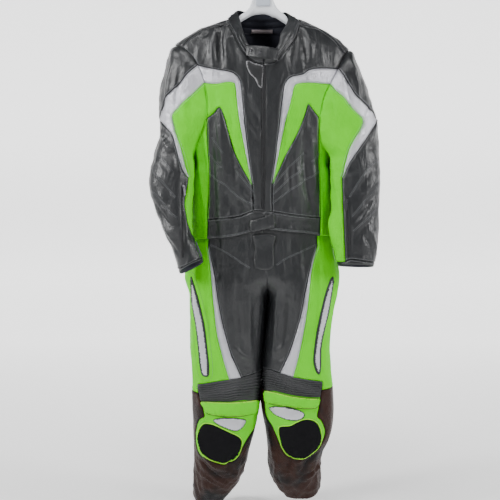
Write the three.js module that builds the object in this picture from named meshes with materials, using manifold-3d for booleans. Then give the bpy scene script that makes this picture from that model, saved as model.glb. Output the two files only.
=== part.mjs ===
import * as THREE from 'three';
import { mergeVertices } from 'three/addons/utils/BufferGeometryUtils.js';
import Module from 'manifold-3d';

// A two-piece motorcycle race suit on its hanger. Millimetres: X to the viewer's right, Y to the back,
// Z up from the inner top of the hanger's hook. Every panel is a wall of leather cut from a tube of cloth.

const wasm = await Module();
wasm.setup();

const LEATHER = 2;
const SEAM = 0.3;
const LAYER = 0.4;
const FULLNESS = 2.3;
const OUTSIDE = 420;
const BEYOND = 1700;
const ABOVE_LEGS = -600;
const SLEEVE_INSIDE = 100;
const PAST_CROTCH = 60;
const DERIVATIVE_STEP = 0.001;
const END_GAP = 0.0004;

// A shoulder piece lies over the top, so far round to the front and to the back.
const SHOULDER_WRAP = 0.13;

const TORSO_STEPS = 20;
const TORSO_BACK_STEPS = 10;
const TORSO_ROWS = 20;
const SLEEVE_STEPS = 8;
const SLEEVE_ROWS = 17;
const SLEEVE_BACK_STEPS = 6;
const LEG_STEPS = 10;
const LEG_ROWS = 17;
const LEG_BACK_STEPS = 5;

const COLOURS = {
  leather: { color: 0x3b3d40, roughness: 0.45, metalness: 0.05 },
  stretch: { color: 0x232427, roughness: 0.8, metalness: 0 },
  green: { color: 0x6cc81c, roughness: 0.45, metalness: 0 },
  silver: { color: 0xc3c3c8, roughness: 0.35, metalness: 0.4 },
  loop: { color: 0x0b0b0d, roughness: 0.95, metalness: 0 },
  shin: { color: 0x3a302d, roughness: 0.6, metalness: 0 },
  zip: { color: 0x101113, roughness: 0.6, metalness: 0.1 },
  puller: { color: 0x85878a, roughness: 0.35, metalness: 0.8 },
  hanger: { color: 0xcfd2d6, roughness: 0.5, metalness: 0 },
};

function table(columns, lines) {
  return lines.map((line) => Object.fromEntries(columns.map((name, i) => [name, line[i]])));
}

// Cross-sections of the jacket's body, from the neck down to the hem: front and back are depths from y.
const TORSO = table(['z', 'left', 'right', 'y', 'front', 'back'], [
  [-142, -99, 104, 5, 62, 60],
  [-154, -137, 134, 5, 68, 64],
  [-169, -178, 169, 5, 74, 68],
  [-187, -209, 195, 5, 78, 72],
  [-204, -234, 220, 5, 82, 76],
  [-223, -250, 239, 5, 86, 80],
  [-255, -253, 248, 5, 91, 84],
  [-310, -248, 243, 4, 96, 87],
  [-381, -232, 229, 3, 98, 88],
  [-455, -211, 211, 2, 96, 86],
  [-524, -189, 187, 2, 92, 82],
  [-558, -195, 195, 2, 90, 80],
  [-602, -197, 197, 2, 87, 79],
  [-674, -198, 198, 2, 82, 76],
  [-758, -202, 202, 2, 80, 75],
]);

// Cross-sections of a sleeve, each across the front view from its outer to its inner end.
// A set-in one ends on the armhole, so its depth there is the jacket body's. Tilt is the rise with Y.
const SLEEVE_COLUMNS = ['outerX', 'outerZ', 'innerX', 'innerZ', 'y', 'front', 'back', 'tilt', 'setIn', 'hold'];
const SLEEVE_LEFT = table(SLEEVE_COLUMNS, [
  [-251, -222, -235, -213, 5, 32, 30, 0, 1, 0],
  [-257, -239, -219, -219, 5, 52, 48, 0, 1, 0],
  [-264, -261, -194, -241, 4, 68, 63, 0, 1, 0],
  [-269, -285, -175, -269, 3, 77, 71, 0, 1, 0],
  [-276, -310, -164, -295, 2, 81, 75, 0, 1, 0],
  [-282, -334, -156, -321, 0, 83, 79, 0, 1, 0],
  [-285, -362, -150, -351, -2, 83, 82, 0, 1, 0],
  [-283, -394, -148, -383, -5, 81, 83, 0, 1, 0],
  [-281, -427, -152, -413, -9, 77, 83, 0, 1, 0],
  [-283, -458, -162, -441, -13, 73, 81, 0, 1, 0],
  [-290, -485, -177, -474, -19, 70, 77, -0.05, 1, 0],
  [-297, -512, -197, -507, -27, 66, 70, -0.1, 0, 0.3],
  [-304, -545, -197, -539, -40, 62, 62, -0.15, 0, 0],
  [-310, -577, -194, -572, -50, 59, 56, -0.2, 0, 0],
  [-306, -612, -190, -612, -57, 56, 52, -0.22, 0, 0],
  [-296, -647, -190, -650, -65, 53, 49, -0.24, 0, 0],
  [-282, -682, -191, -690, -74, 50, 47, -0.26, 0, 0],
  [-266, -722, -188, -728, -83, 48, 45, -0.28, 0, 0],
  [-247, -762, -175, -758, -92, 46, 43, -0.3, 0, 0],
  [-225, -827, -160, -793, -101, 43, 40, -0.3, 0, 0],
]);
const SLEEVE_RIGHT = table(SLEEVE_COLUMNS, [
  [248, -233, 238, -226, 5, 32, 30, 0, 1, 0],
  [255, -250, 227, -235, 5, 52, 48, 0, 1, 0],
  [264, -271, 214, -257, 4, 68, 62, 0, 1, 0],
  [275, -293, 202, -283, 3, 77, 70, 0, 1, 0],
  [285, -318, 190, -307, 2, 81, 74, 0, 1, 0],
  [294, -342, 175, -336, 0, 83, 77, 0, 1, 0],
  [301, -367, 164, -364, -2, 83, 80, 0, 1, 0],
  [310, -397, 158, -393, -5, 81, 81, 0, 1, 0],
  [318, -430, 154, -423, -9, 77, 82, 0, 1, 0],
  [321, -463, 155, -452, -13, 73, 82, 0, 1, 0],
  [322, -496, 164, -484, -19, 71, 79, -0.05, 1, 0],
  [323, -523, 192, -515, -27, 68, 70, -0.1, 0, 0.3],
  [323, -556, 197, -547, -40, 65, 62, -0.13, 0, 0],
  [322, -591, 194, -583, -50, 62, 57, -0.16, 0, 0],
  [320, -626, 189, -623, -53, 59, 54, -0.18, 0, 0],
  [319, -664, 189, -661, -60, 56, 51, -0.2, 0, 0],
  [318, -702, 191, -696, -66, 53, 49, -0.2, 0, 0],
  [316, -740, 197, -734, -71, 50, 47, -0.2, 0, 0],
  [311, -778, 203, -772, -76, 47, 44, -0.2, 0, 0],
  [304, -812, 206, -809, -80, 44, 42, -0.2, 0, 0],
]);

// Cross-sections of a trouser leg. Hold is the depth at the inner end: 1 at the seat's seam, 0 on a closed leg.
const LEG_COLUMNS = ['outerX', 'outerZ', 'innerX', 'innerZ', 'y', 'front', 'back', 'tilt', 'hold'];
const LEG_LEFT = table(LEG_COLUMNS, [
  [-196, -705, 2.3, -705, 2, 78.3, 72.7, 0, 1],
  [-198, -741, 2.3, -741, 2, 77.3, 72.2, 0, 1],
  [-200, -775, 5.3, -775, 2, 79, 75, 0, 1],
  [-208, -812, 8.3, -812, 2, 82, 81, 0, 1],
  [-217, -852, 13.3, -852, 2, 84, 87, 0, 0.93],
  [-205, -894, 15.3, -888, 2, 85, 89, 0, 0.45],
  [-203, -940, 14.5, -928, 2, 84, 87, 0, 0],
  [-203, -1003, 8.5, -997, 2, 82, 84, 0, 0],
  [-202, -1068, 3, -1060, 1, 80, 80, 0, 0],
  [-197, -1140, -1, -1120, 0, 78, 76, 0, 0],
  [-196, -1183, -3.5, -1160, -2, 78, 72, 0.05, 0],
  [-196, -1217, -5, -1197, -4, 80, 68, 0.1, 0],
  [-195, -1255, -10, -1235, -3, 84, 64, 0.2, 0],
  [-194, -1291, -20, -1283, 0, 86, 60, 0.3, 0],
  [-193, -1332, -33, -1329, 9, 84, 58, 0.4, 0],
  [-193, -1381, -45, -1381, 26, 76, 57, 0.5, 0],
  [-196, -1433, -64, -1430, 48, 68, 56, 0.55, 0],
  [-200, -1491, -86, -1464, 70, 64, 55, 0.55, 0],
]);
const LEG_RIGHT = table(LEG_COLUMNS, [
  [196, -705, 2.7, -705, 2, 78.3, 72.7, 0, 1],
  [198, -741, 2.7, -741, 2, 77.3, 72.2, 0, 1],
  [205, -775, 5.7, -775, 2, 79, 75, 0, 1],
  [213, -812, 8.7, -812, 2, 82, 81, 0, 1],
  [217, -852, 13.7, -852, 2, 84, 87, 0, 0.93],
  [212, -894, 15.7, -888, 2, 85, 89, 0, 0.45],
  [203, -940, 15.5, -928, 2, 84, 87, 0, 0],
  [194, -1003, 9.5, -997, 2, 82, 84, 0, 0],
  [191, -1060, 4, -1060, 1, 80, 80, 0, 0],
  [198, -1129, 0.6, -1111, 0, 78, 76, 0, 0],
  [203, -1177, -1.4, -1148, -2, 78, 72, 0.05, 0],
  [204, -1212, -3, -1186, -4, 80, 68, 0.1, 0],
  [202, -1250, 1, -1226, -3, 84, 64, 0.2, 0],
  [197, -1288, 11, -1277, 0, 86, 60, 0.3, 0],
  [179, -1332, 17, -1329, 9, 84, 58, 0.36, 0],
  [168, -1378, 20, -1381, 24, 77, 57, 0.4, 0],
  [170, -1425, 29, -1428, 42, 70, 56, 0.4, 0],
  [169, -1468, 50, -1468, 58, 66, 55, 0.36, 0],
]);

// Seams in the front view, as (x, z) points that a smooth curve runs through.
const NECK = {
  left: [[-97, -146], [-91, -161], [-80, -178], [-64, -216], [-43, -245], [-21, -260], [3, -265]],
  right: [[103, -149], [98, -162], [88, -190], [71, -217], [52, -242], [29, -261], [3, -265]],
  back: [[-91, -161], [-50, -170], [3, -173], [55, -170], [98, -162]],
};
const SHOULDER = {
  left: [[-91, -161], [-113, -159], [-140, -166], [-168, -178], [-195, -196], [-219, -219]],
  right: [[98, -162], [130, -165], [152, -169], [171, -179], [193, -198], [225, -236]],
};
const ARMHOLE = {
  left: {
    top: [[-242, -208], [-219, -219]],
    upper: [[-219, -219], [-194, -241], [-175, -269]],
    band: [[-175, -269], [-165, -293], [-157, -316]],
    inner: [[-157, -316], [-150, -345], [-148, -377], [-151, -410]],
    under: [[-151, -410], [-159, -439], [-177, -474], [-194, -510]],
  },
  right: {
    top: [[242, -217], [225, -236]],
    upper: [[225, -236], [214, -256], [205, -278]],
    band: [[205, -278], [193, -300], [183, -319]],
    inner: [[183, -319], [167, -356], [158, -393], [153, -408]],
    under: [[153, -408], [160, -449], [169, -482], [184, -517]],
  },
};
const CHEST = {
  left: {
    bandTop: [
      [-175, -269], [-134, -279], [-96, -285], [-75, -293], [-61, -311], [-57, -340], [-47, -441],
      [-28, -589],
    ],
    bandLow: [
      [-157, -316], [-126, -319], [-96, -314], [-77, -316], [-72, -330], [-62, -415], [-38, -538],
      [-28, -589],
    ],
    wedgeLow: [
      [-151, -410], [-132, -397], [-115, -380], [-102, -407], [-83, -479], [-65, -522],
      [-28, -589],
    ],
    side: [[-151, -410], [-149, -495], [-147, -563], [-150, -685]],
    sideLow: [[-150, -685], [-152, -739]],
    frontDart: [[-28, -589], [-26, -624], [-24, -660]],
    waist: [[-150, -685], [-87, -679], [-60, -674], [-24, -660]],
    waistMiddle: [[-24, -660], [3, -660]],
    hem: [[-152, -739], [-115, -737], [-74, -731], [-33, -720], [3, -712]],
  },
  right: {
    bandTop: [
      [205, -278], [156, -277], [126, -282], [107, -294], [77, -301], [64, -314], [57, -338],
      [43, -455], [27, -586],
    ],
    bandLow: [[183, -319], [137, -316], [102, -317], [86, -324], [79, -351], [54, -455], [27, -586]],
    wedgeLow: [[153, -408], [137, -388], [123, -373], [113, -401], [94, -449], [65, -503], [27, -586]],
    side: [[153, -408], [155, -482], [159, -563], [160, -680]],
    sideLow: [[160, -680], [159, -731]],
    frontDart: [[27, -586], [26, -624], [27, -662]],
    waist: [[160, -680], [104, -674], [63, -668], [27, -662]],
    waistMiddle: [[27, -662], [3, -660]],
    hem: [[159, -731], [118, -724], [76, -720], [35, -715], [3, -712]],
  },
};
const SIDE_HEM = { left: -741, right: -733 };
const SLEEVE_SEAMS = {
  left: {
    bandTop: [
      [-175, -269], [-198, -289], [-220, -315], [-248, -342], [-263, -361], [-271, -385],
      [-282, -413],
    ],
    bandLow: [
      [-281, -415], [-263, -433], [-245, -452], [-234, -481], [-226, -513], [-215, -546],
      [-200, -570],
    ],
    bandInner: [
      [-157, -316], [-185, -343], [-212, -367], [-234, -391], [-244, -406], [-238, -436],
      [-218, -495], [-200, -570],
    ],
    strip: [[-200, -570], [-203, -597], [-208, -640], [-199, -693], [-188, -727], [-166, -783]],
    cuffInner: [[-166, -783], [-130, -765]],
    cuffOuter: [[-280, -841], [-231, -817], [-220, -809], [-192, -796], [-166, -783]],
  },
  right: {
    bandTop: [
      [205, -278], [217, -295], [231, -319], [247, -345], [269, -366], [293, -386], [312, -413],
    ],
    bandLow: [[312, -415], [298, -439], [281, -463], [253, -500], [234, -527], [213, -570]],
    bandInner: [
      [183, -319], [198, -337], [220, -356], [236, -377], [258, -399], [272, -413], [269, -431],
      [234, -492], [213, -570],
    ],
    strip: [[213, -570], [215, -628], [218, -695], [221, -763], [222, -794]],
    cuffInner: [[222, -794], [190, -800]],
    cuffOuter: [[340, -799], [304, -797], [263, -790], [237, -788], [222, -794]],
  },
};
const LEG_SEAMS = {
  left: {
    bandInner: [
      [-150, -759], [-144, -785], [-132, -836], [-121, -912], [-107, -982], [-88, -1052],
      [-58, -1123],
    ],
    bandOuter: [[-150, -759], [-144, -810], [-133, -926], [-124, -1002], [-108, -1069], [-91, -1127]],
    kneeInner: [[-58, -1123], [-33, -1118], [-3, -1113]],
    kneeBand: [[-91, -1127], [-58, -1123]],
    kneeOuter: [[-180, -1146], [-130, -1134], [-91, -1127]],
    side: [[-180, -1146], [-180, -1171]],
    sideLow: [[-260, -1171], [-180, -1171]],
    stretchSide: [[-180, -1171], [-170, -1191]],
    kneeLow: [[-170, -1191], [-130, -1188], [-89, -1188], [-47, -1186], [-9, -1195]],
    knee: [
      [-9, -1195], [-10, -1227], [-16, -1264], [-31, -1285], [-53, -1318], [-67, -1343], [-84, -1363],
      [-103, -1370], [-126, -1363], [-148, -1349], [-171, -1347], [-183, -1331], [-187, -1309], [-185, -1272], [-174, -1244],
      [-161, -1234], [-164, -1215], [-170, -1191],
    ],
    flap: [
      [-168, -1193], [-130, -1190], [-89, -1190], [-47, -1189], [-12, -1193], [-9, -1214], [-17, -1227],
      [-42, -1229], [-75, -1230], [-116, -1228], [-150, -1224], [-163, -1209],
    ],
    loop: [
      [-158, -1253], [-136, -1254], [-114, -1263], [-89, -1275], [-64, -1290], [-58, -1310], [-67, -1338],
      [-84, -1358], [-106, -1364], [-137, -1354], [-162, -1338], [-175, -1315], [-176, -1286], [-169, -1264],
    ],
    patch: [
      [-199, -843], [-188, -861], [-176, -899], [-160, -967], [-152, -1031], [-146, -1081], [-147, -1116],
      [-161, -1122], [-171, -1107], [-180, -1034], [-190, -960], [-199, -912],
    ],
  },
  right: {
    bandInner: [[153, -758], [137, -801], [120, -876], [104, -959], [77, -1049], [50, -1111]],
    bandOuter: [
      [153, -758], [141, -801], [134, -836], [127, -904], [118, -973], [102, -1057], [86, -1120],
    ],
    kneeInner: [[50, -1111], [25, -1105], [3, -1108]],
    kneeBand: [[86, -1120], [50, -1111]],
    kneeOuter: [[168, -1136], [124, -1127], [86, -1120]],
    side: [[168, -1136], [168, -1159]],
    sideLow: [[260, -1159], [168, -1159]],
    stretchSide: [[168, -1159], [161, -1179]],
    kneeLow: [[161, -1179], [119, -1175], [77, -1169], [36, -1162], [5, -1165]],
    knee: [
      [5, -1165], [6, -1202], [9, -1231], [18, -1249], [31, -1272], [42, -1295], [53, -1319], [67, -1340],
      [86, -1353], [109, -1350], [134, -1341], [153, -1328], [169, -1304], [176, -1282], [173, -1264],
      [164, -1244], [153, -1231], [157, -1208], [161, -1179],
    ],
    flap: [
      [8, -1167], [36, -1165], [77, -1172], [119, -1178], [157, -1182], [160, -1189], [154, -1204],
      [138, -1208], [91, -1205], [50, -1200], [20, -1199], [8, -1193],
    ],
    loop: [
      [48, -1264], [78, -1256], [97, -1246], [116, -1239], [136, -1240], [153, -1252], [162, -1276],
      [163, -1303], [151, -1326], [131, -1340], [95, -1349], [77, -1344], [62, -1325], [53, -1305],
    ],
    patch: [
      [196, -843], [199, -861], [192, -909], [180, -970], [166, -1033], [164, -1098], [158, -1116], [147, -1104],
      [141, -1073], [145, -1031], [157, -955], [170, -897], [185, -855],
    ],
  },
};
const BADGE = [[-44, -258], [-21, -264], [3, -273], [2, -303], [-1, -329], [-11, -326], [-21, -306], [-37, -289]];
const WAIST_TAB = [[-35, -687], [-19, -681], [0, -676], [30, -665], [35, -684], [35, -704], [0, -714], [-33, -717]];
const COLLAR_TAB_SECTIONS = table(['x', 'y', 'top', 'bottom'], [
  [-45, -78, -216, -245],
  [-22, -87, -217, -249],
  [2, -90, -219, -253],
  [22, -89, -222, -257],
  [41, -83, -226, -258],
]);
const COLLAR_TAB_LEAN = 0.3;
const FLY_LIFT = 1;
const FLY = [[-24, -726], [34, -726], [32, -760], [30, -816], [-20, -816], [-22, -760]];
const ZIP_FRONT = { left: -1, right: 7, top: -268, bottom: -656, thickness: 1.6 };
const FOREARM_ZIP = {
  left: { path: [[-212, -584], [-216, -628], [-214, -694], [-214, -780]], width: 8 },
  right: { path: [[226, -623], [228, -668], [230, -722], [231, -780]], width: 8 },
};

// The collar's band: its base on the neckline and its upper edge, from the front round the back to the front.
const COLLAR_BAND = table(['baseX', 'baseZ', 'baseIsBack', 'topX', 'topY', 'topZ'], [
  [1.5, -263, 0, 1.5, -80, -228],
  [-21, -258, 0, -19, -76, -225],
  [-42, -243, 0, -36, -66, -214],
  [-62, -215, 0, -50, -48, -180],
  [-78, -178, 0, -58, -30, -151],
  [-89, -161, 0, -65, -14, -131],
  [-95, -147, 0, -71, 5, -119],
  [-86, -161, 1, -64, 32, -119],
  [-49, -169, 1, -38, 48, -124],
  [3, -172, 1, 2, 53, -127],
  [53, -169, 1, 42, 48, -126],
  [92, -162, 1, 66, 32, -123],
  [100, -150, 0, 72, 5, -126],
  [95, -163, 0, 70, -14, -138],
  [86, -190, 0, 62, -30, -160],
  [70, -216, 0, 48, -50, -185],
  [51, -241, 0, 42, -66, -212],
  [29, -259, 0, 30, -77, -226],
  [4.5, -263, 0, 4.5, -80, -229],
]);
const COLLAR_BULGE = 5;
const COLLAR_THICKNESS = 2.4;

// The hanger's body across X: its upper and lower edge and its half depth.
const HANGER = table(['x', 'top', 'bottom', 'depth'], [
  [-214, -194, -208, 6],
  [-190, -179.5, -200, 12],
  [-150, -162, -186, 17],
  [-105, -161, -179, 18],
  [-78, -153, -168, 17],
  [-62, -130, -150, 16],
  [-44, -118, -139, 14],
  [-34, -105, -133, 13],
  [-27, -84, -130, 12],
  [-20, -64, -128, 11],
  [-10, -57, -127, 11],
  [0, -56, -126, 11],
  [10, -57, -127, 11],
  [20, -64, -130, 11],
  [28, -84, -134, 12],
  [38, -105, -137, 13],
  [48, -117, -143, 14],
  [66, -132, -155, 16],
  [80, -154, -170, 17],
  [107, -163, -182, 18],
  [150, -164.5, -190, 17],
  [182, -181, -202, 12],
  [204, -196.5, -210, 6],
]);
const HANGER_SIDES = 10;
const HOOK = { radius: 24, wire: 4, foot: -62, turn: -46, sides: 3, steps: 16 };
const SLIDER = { width: 7.2, height: 9, thickness: 2.6, lug: 1, lugReach: 2.8, lugHeight: 3, sunk: 0.6 };
const PULLER = { length: 22, width: 6, thickness: 1.2, knuckle: 1.1, knuckleWidth: 4.6, drop: 3, stand: 1.5 };
const PULLER_PLACE = {
  left: { round: 0.345, v: 13.754, gap: -0.7 },
  right: { round: 0.31, v: 14.454, gap: 0.5 },
};

function spline(p0, p1, p2, p3, t) {
  const slopeIn = p2 - p0;
  const bend = 2 * p0 - 5 * p1 + 4 * p2 - p3;
  const twist = 3 * p1 - p0 - 3 * p2 + p3;
  return 0.5 * (2 * p1 + slopeIn * t + bend * t * t + twist * t * t * t);
}

function interpolate(sections, v) {
  const last = sections.length - 1;
  const place = Math.min(Math.max(v, 0), last);
  const k = Math.min(Math.floor(place), last - 1);
  const near = [k - 1, k, k + 1, k + 2].map((i) => sections[Math.min(Math.max(i, 0), last)]);
  const names = Object.keys(sections[0]);
  return Object.fromEntries(names.map((name) => [name, spline(...near.map((s) => s[name]), place - k)]));
}

function tubeSections(lines) {
  return lines.map((s) => ({
    outerX: s.outerX ?? s.left,
    outerZ: s.outerZ ?? s.z,
    innerX: s.innerX ?? s.right,
    innerZ: s.innerZ ?? s.z,
    y: s.y,
    front: s.front,
    back: s.back,
    tilt: s.tilt ?? 0,
    frontHold: s.hold ?? 0,
    backHold: s.hold ?? 0,
  }));
}

const across = (angle) => -Math.sign(Math.cos(angle)) * Math.abs(Math.cos(angle)) ** (2 / FULLNESS);
const deep = (angle) => Math.abs(Math.sin(angle)) ** (2 / FULLNESS);

// A point of a tube. Round runs from 0 to 1: the front from the outer to the inner end, then the back again.
function tubePoint(sections, round, v) {
  const s = interpolate(sections, v);
  const isFront = round <= 0.5;
  const u = isFront ? 2 * round : 2 - 2 * round;
  const depth = isFront ? -s.front : s.back;
  const hold = Math.min(Math.max(isFront ? s.frontHold : s.backHold, 0), 1);
  const end = Math.PI - Math.asin(hold ** (FULLNESS / 2));
  const share = (across(u * end) + 1) / (across(end) + 1);
  const dy = depth * deep(u * end);
  return new THREE.Vector3(
    s.outerX + (s.innerX - s.outerX) * share,
    s.y + dy,
    s.outerZ + (s.innerZ - s.outerZ) * share + s.tilt * dy,
  );
}

function tubeMiddle(sections, v) {
  const s = interpolate(sections, v);
  return new THREE.Vector3((s.outerX + s.innerX) / 2, s.y, (s.outerZ + s.innerZ) / 2);
}

const torso = tubeSections(TORSO);

// Depth of the jacket's body at (x, z), on its front or its back.
function torsoDepth(x, z, isFront) {
  let v = 0;
  let step = torso.length - 1;
  while (step > DERIVATIVE_STEP) {
    step /= 2;
    if (interpolate(torso, v + step).outerZ > z) v += step;
  }
  const s = interpolate(torso, v);
  const offset = (2 * (x - s.outerX)) / (s.innerX - s.outerX) - 1;
  const share = Math.max(1 - Math.abs(offset) ** FULLNESS, 0) ** (1 / FULLNESS);
  return s.y + (isFront ? -s.front : s.back) * share;
}

function sleeveSections(lines) {
  return tubeSections(lines).map((s, i) => {
    if (!lines[i].setIn) return s;
    const frontDepth = s.y - torsoDepth(s.innerX, s.innerZ, true);
    const backDepth = torsoDepth(s.innerX, s.innerZ, false) - s.y;
    return { ...s, frontHold: frontDepth / s.front, backHold: backDepth / s.back };
  });
}

const sleeves = { left: sleeveSections(SLEEVE_LEFT), right: sleeveSections(SLEEVE_RIGHT) };
const legs = { left: tubeSections(LEG_LEFT), right: tubeSections(LEG_RIGHT) };

function tubeNormal(sections, round, v) {
  const half = round <= 0.5 ? 0 : 0.5;
  const before = Math.max(round - DERIVATIVE_STEP, half);
  const after = Math.min(round + DERIVATIVE_STEP, half + 0.5);
  const last = sections.length - 1;
  const above = Math.max(v - 0.05, 0);
  const below = Math.min(v + 0.05, last);
  const along = tubePoint(sections, after, v).sub(tubePoint(sections, before, v));
  const down = tubePoint(sections, round, below).sub(tubePoint(sections, round, above));
  const normal = along.cross(down).normalize();
  const outward = tubePoint(sections, round, v).sub(tubeMiddle(sections, v));
  return normal.dot(outward) < 0 ? normal.negate() : normal;
}

// A closed wall over a grid of points: surface gives the point and its normal at column i and row j.
function wall(columns, rows, surface, inside, outside, closed = false) {
  const count = closed ? columns : columns + 1;
  const positions = [];
  for (const offset of [outside, inside]) {
    for (let j = 0; j <= rows; j++) {
      for (let i = 0; i < count; i++) {
        const { point, normal } = surface(i, j);
        positions.push(...point.clone().addScaledVector(normal, offset).toArray());
      }
    }
  }
  const layer = count * (rows + 1);
  const at = (i, j, k) => k * layer + j * count + (i % count);
  const triangles = [];
  const quad = (a, b, c, d) => triangles.push(a, b, c, a, c, d);
  for (let j = 0; j < rows; j++) {
    for (let i = 0; i < columns; i++) {
      quad(at(i, j, 0), at(i, j + 1, 0), at(i + 1, j + 1, 0), at(i + 1, j, 0));
      quad(at(i, j, 1), at(i + 1, j, 1), at(i + 1, j + 1, 1), at(i, j + 1, 1));
    }
  }
  for (let i = 0; i < columns; i++) {
    quad(at(i, 0, 0), at(i + 1, 0, 0), at(i + 1, 0, 1), at(i, 0, 1));
    quad(at(i, rows, 0), at(i, rows, 1), at(i + 1, rows, 1), at(i + 1, rows, 0));
  }
  for (let j = 0; j < rows && !closed; j++) {
    quad(at(0, j, 0), at(0, j, 1), at(0, j + 1, 1), at(0, j + 1, 0));
    quad(at(columns, j, 0), at(columns, j + 1, 0), at(columns, j + 1, 1), at(columns, j, 1));
  }
  return solidFrom(positions, triangles);
}

function signedVolume(positions, triangles) {
  let six = 0;
  const corner = (i) => new THREE.Vector3().fromArray(positions, 3 * i);
  for (let t = 0; t < triangles.length; t += 3) {
    six += corner(triangles[t]).dot(corner(triangles[t + 1]).cross(corner(triangles[t + 2])));
  }
  return six / 6;
}

function solidFrom(positions, triangles) {
  if (signedVolume(positions, triangles) < 0) triangles.reverse();
  const mesh = new wasm.Mesh({
    numProp: 3,
    vertProperties: new Float32Array(positions),
    triVerts: new Uint32Array(triangles),
  });
  return new wasm.Manifold(mesh);
}

function solidFromGeometry(geometry) {
  const bare = geometry.clone();
  bare.deleteAttribute('normal');
  bare.deleteAttribute('uv');
  const merged = mergeVertices(bare, 1e-4);
  return solidFrom(Array.from(merged.attributes.position.array), Array.from(merged.index.array));
}

// A stretch of a tube's wall, between two shares of the way round and two sections.
function tubeWall(sections, [from, to], [top, bottom], steps, rows, inside, outside) {
  const closed = to - from >= 1;
  const surface = (i, j) => {
    const share = from + ((to - from) * i) / steps;
    const round = ((share % 1) + 1) % 1;
    const v = top + ((bottom - top) * j) / rows;
    return { point: tubePoint(sections, round, v), normal: tubeNormal(sections, round, v) };
  };
  return wall(steps, rows, surface, inside, outside, closed);
}

const FRONT = [END_GAP, 0.5 - END_GAP];
const BACK = [0.5 + END_GAP, 1 - END_GAP];

function smooth(points, perSpan = 1) {
  if (points.length < 3) return points;
  const curve = new THREE.SplineCurve(points.map(([x, z]) => new THREE.Vector2(x, z)));
  return curve.getPoints(perSpan * (points.length - 1)).map((p) => [p.x, p.y]);
}

const back = (points) => [...points].reverse();
const seam = (points) => smooth(points);

function area(outline) {
  const next = (i) => outline[(i + 1) % outline.length];
  return outline.reduce((sum, [x, z], i) => sum + (x * next(i)[1] - next(i)[0] * z) / 2, 0);
}

// The outline moved inward by a distance, or outward where the distance is negative.
function inset(outline, distance) {
  const near = ([ax, az], [bx, bz]) => Math.hypot(ax - bx, az - bz) < 0.5;
  const points = outline.filter((p, i) => !near(p, outline[(i + 1) % outline.length]));
  if (area(points) < 0) points.reverse();
  const leftOf = ([ax, az], [bx, bz]) => {
    const length = Math.hypot(bx - ax, bz - az);
    return [(az - bz) / length, (bx - ax) / length];
  };
  return points.map((p, i) => {
    const before = leftOf(points[(i + points.length - 1) % points.length], p);
    const after = leftOf(p, points[(i + 1) % points.length]);
    const turn = Math.max(1 + before[0] * after[0] + before[1] * after[1], 0.02);
    const move = distance / turn;
    return [p[0] + (before[0] + after[0]) * move, p[1] + (before[1] + after[1]) * move];
  });
}

// Everything that an outline in the front view covers, from the front right through to the back.
function prism(outline, distance = SEAM / 2) {
  const shape = new THREE.Shape(inset(outline, distance).map(([x, z]) => new THREE.Vector2(x, z)));
  const geometry = new THREE.ExtrudeGeometry(shape, { depth: 2 * OUTSIDE, bevelEnabled: false });
  geometry.rotateX(Math.PI / 2);
  geometry.translate(0, OUTSIDE, 0);
  return solidFromGeometry(geometry);
}

function polygon(...pieces) {
  return pieces.flat();
}

const suit = new THREE.Group();

function material(kind) {
  return new THREE.MeshStandardMaterial(COLOURS[kind]);
}

function addGeometry(name, kind, geometry, parent = suit) {
  const mesh = new THREE.Mesh(geometry, material(kind));
  mesh.name = name;
  parent.add(mesh);
  return mesh;
}

// The triangles of the largest body: a cut along a rounded edge can leave slivers beside it.
function largestBody(positions, triangles) {
  const parent = Array.from({ length: positions.length / 3 }, (_, i) => i);
  const root = (i) => {
    let top = i;
    while (parent[top] !== top) top = parent[top];
    parent[i] = top;
    return top;
  };
  for (let t = 0; t < triangles.length; t += 3) {
    parent[root(triangles[t + 1])] = root(triangles[t]);
    parent[root(triangles[t + 2])] = root(triangles[t]);
  }
  const bodies = new Map();
  for (let t = 0; t < triangles.length; t += 3) {
    const body = root(triangles[t]);
    if (!bodies.has(body)) bodies.set(body, []);
    bodies.get(body).push(triangles[t], triangles[t + 1], triangles[t + 2]);
  }
  const volumes = [...bodies.values()].map((body) => signedVolume(positions, body));
  return [...bodies.values()][volumes.indexOf(Math.max(...volumes))];
}

function addSolid(name, kind, solid, parent = suit) {
  const { vertProperties, triVerts } = solid.getMesh();
  const triangles = largestBody(vertProperties, triVerts);
  const geometry = new THREE.BufferGeometry();
  geometry.setAttribute('position', new THREE.BufferAttribute(vertProperties, 3));
  geometry.setIndex(triangles);
  geometry.computeVertexNormals();
  return addGeometry(name, kind, geometry, parent);
}

function outlinesOfTorso(side) {
  const arm = ARMHOLE[side];
  const c = CHEST[side];
  const out = side === 'left' ? -OUTSIDE : OUTSIDE;
  const zipX = ZIP_FRONT[side];
  const armholeLow = arm.under[arm.under.length - 1];
  const hemZ = SIDE_HEM[side];
  return {
    front_center: polygon(
      [[zipX, -265]], back(seam(NECK[side]).slice(2, -1)), seam(SHOULDER[side]), seam(arm.upper),
      seam(c.bandTop), seam(c.frontDart), [[zipX, -660]],
    ),
    chest_band: polygon(seam(arm.band), seam(c.bandLow), back(seam(c.bandTop))),
    chest_wedge: polygon(seam(arm.inner), seam(c.wedgeLow), back(seam(c.bandLow))),
    front_lower: polygon(seam(c.wedgeLow), seam(c.frontDart), back(seam(c.waist)), back(seam(c.side))),
    side_panel: polygon(
      back(seam(arm.under)), seam(c.side), c.sideLow, [[out, hemZ], [out, armholeLow[1]]],
    ),
    waistband: polygon(seam(c.waist), c.waistMiddle, back(seam(c.hem)), back(c.sideLow)),
  };
}

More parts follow.
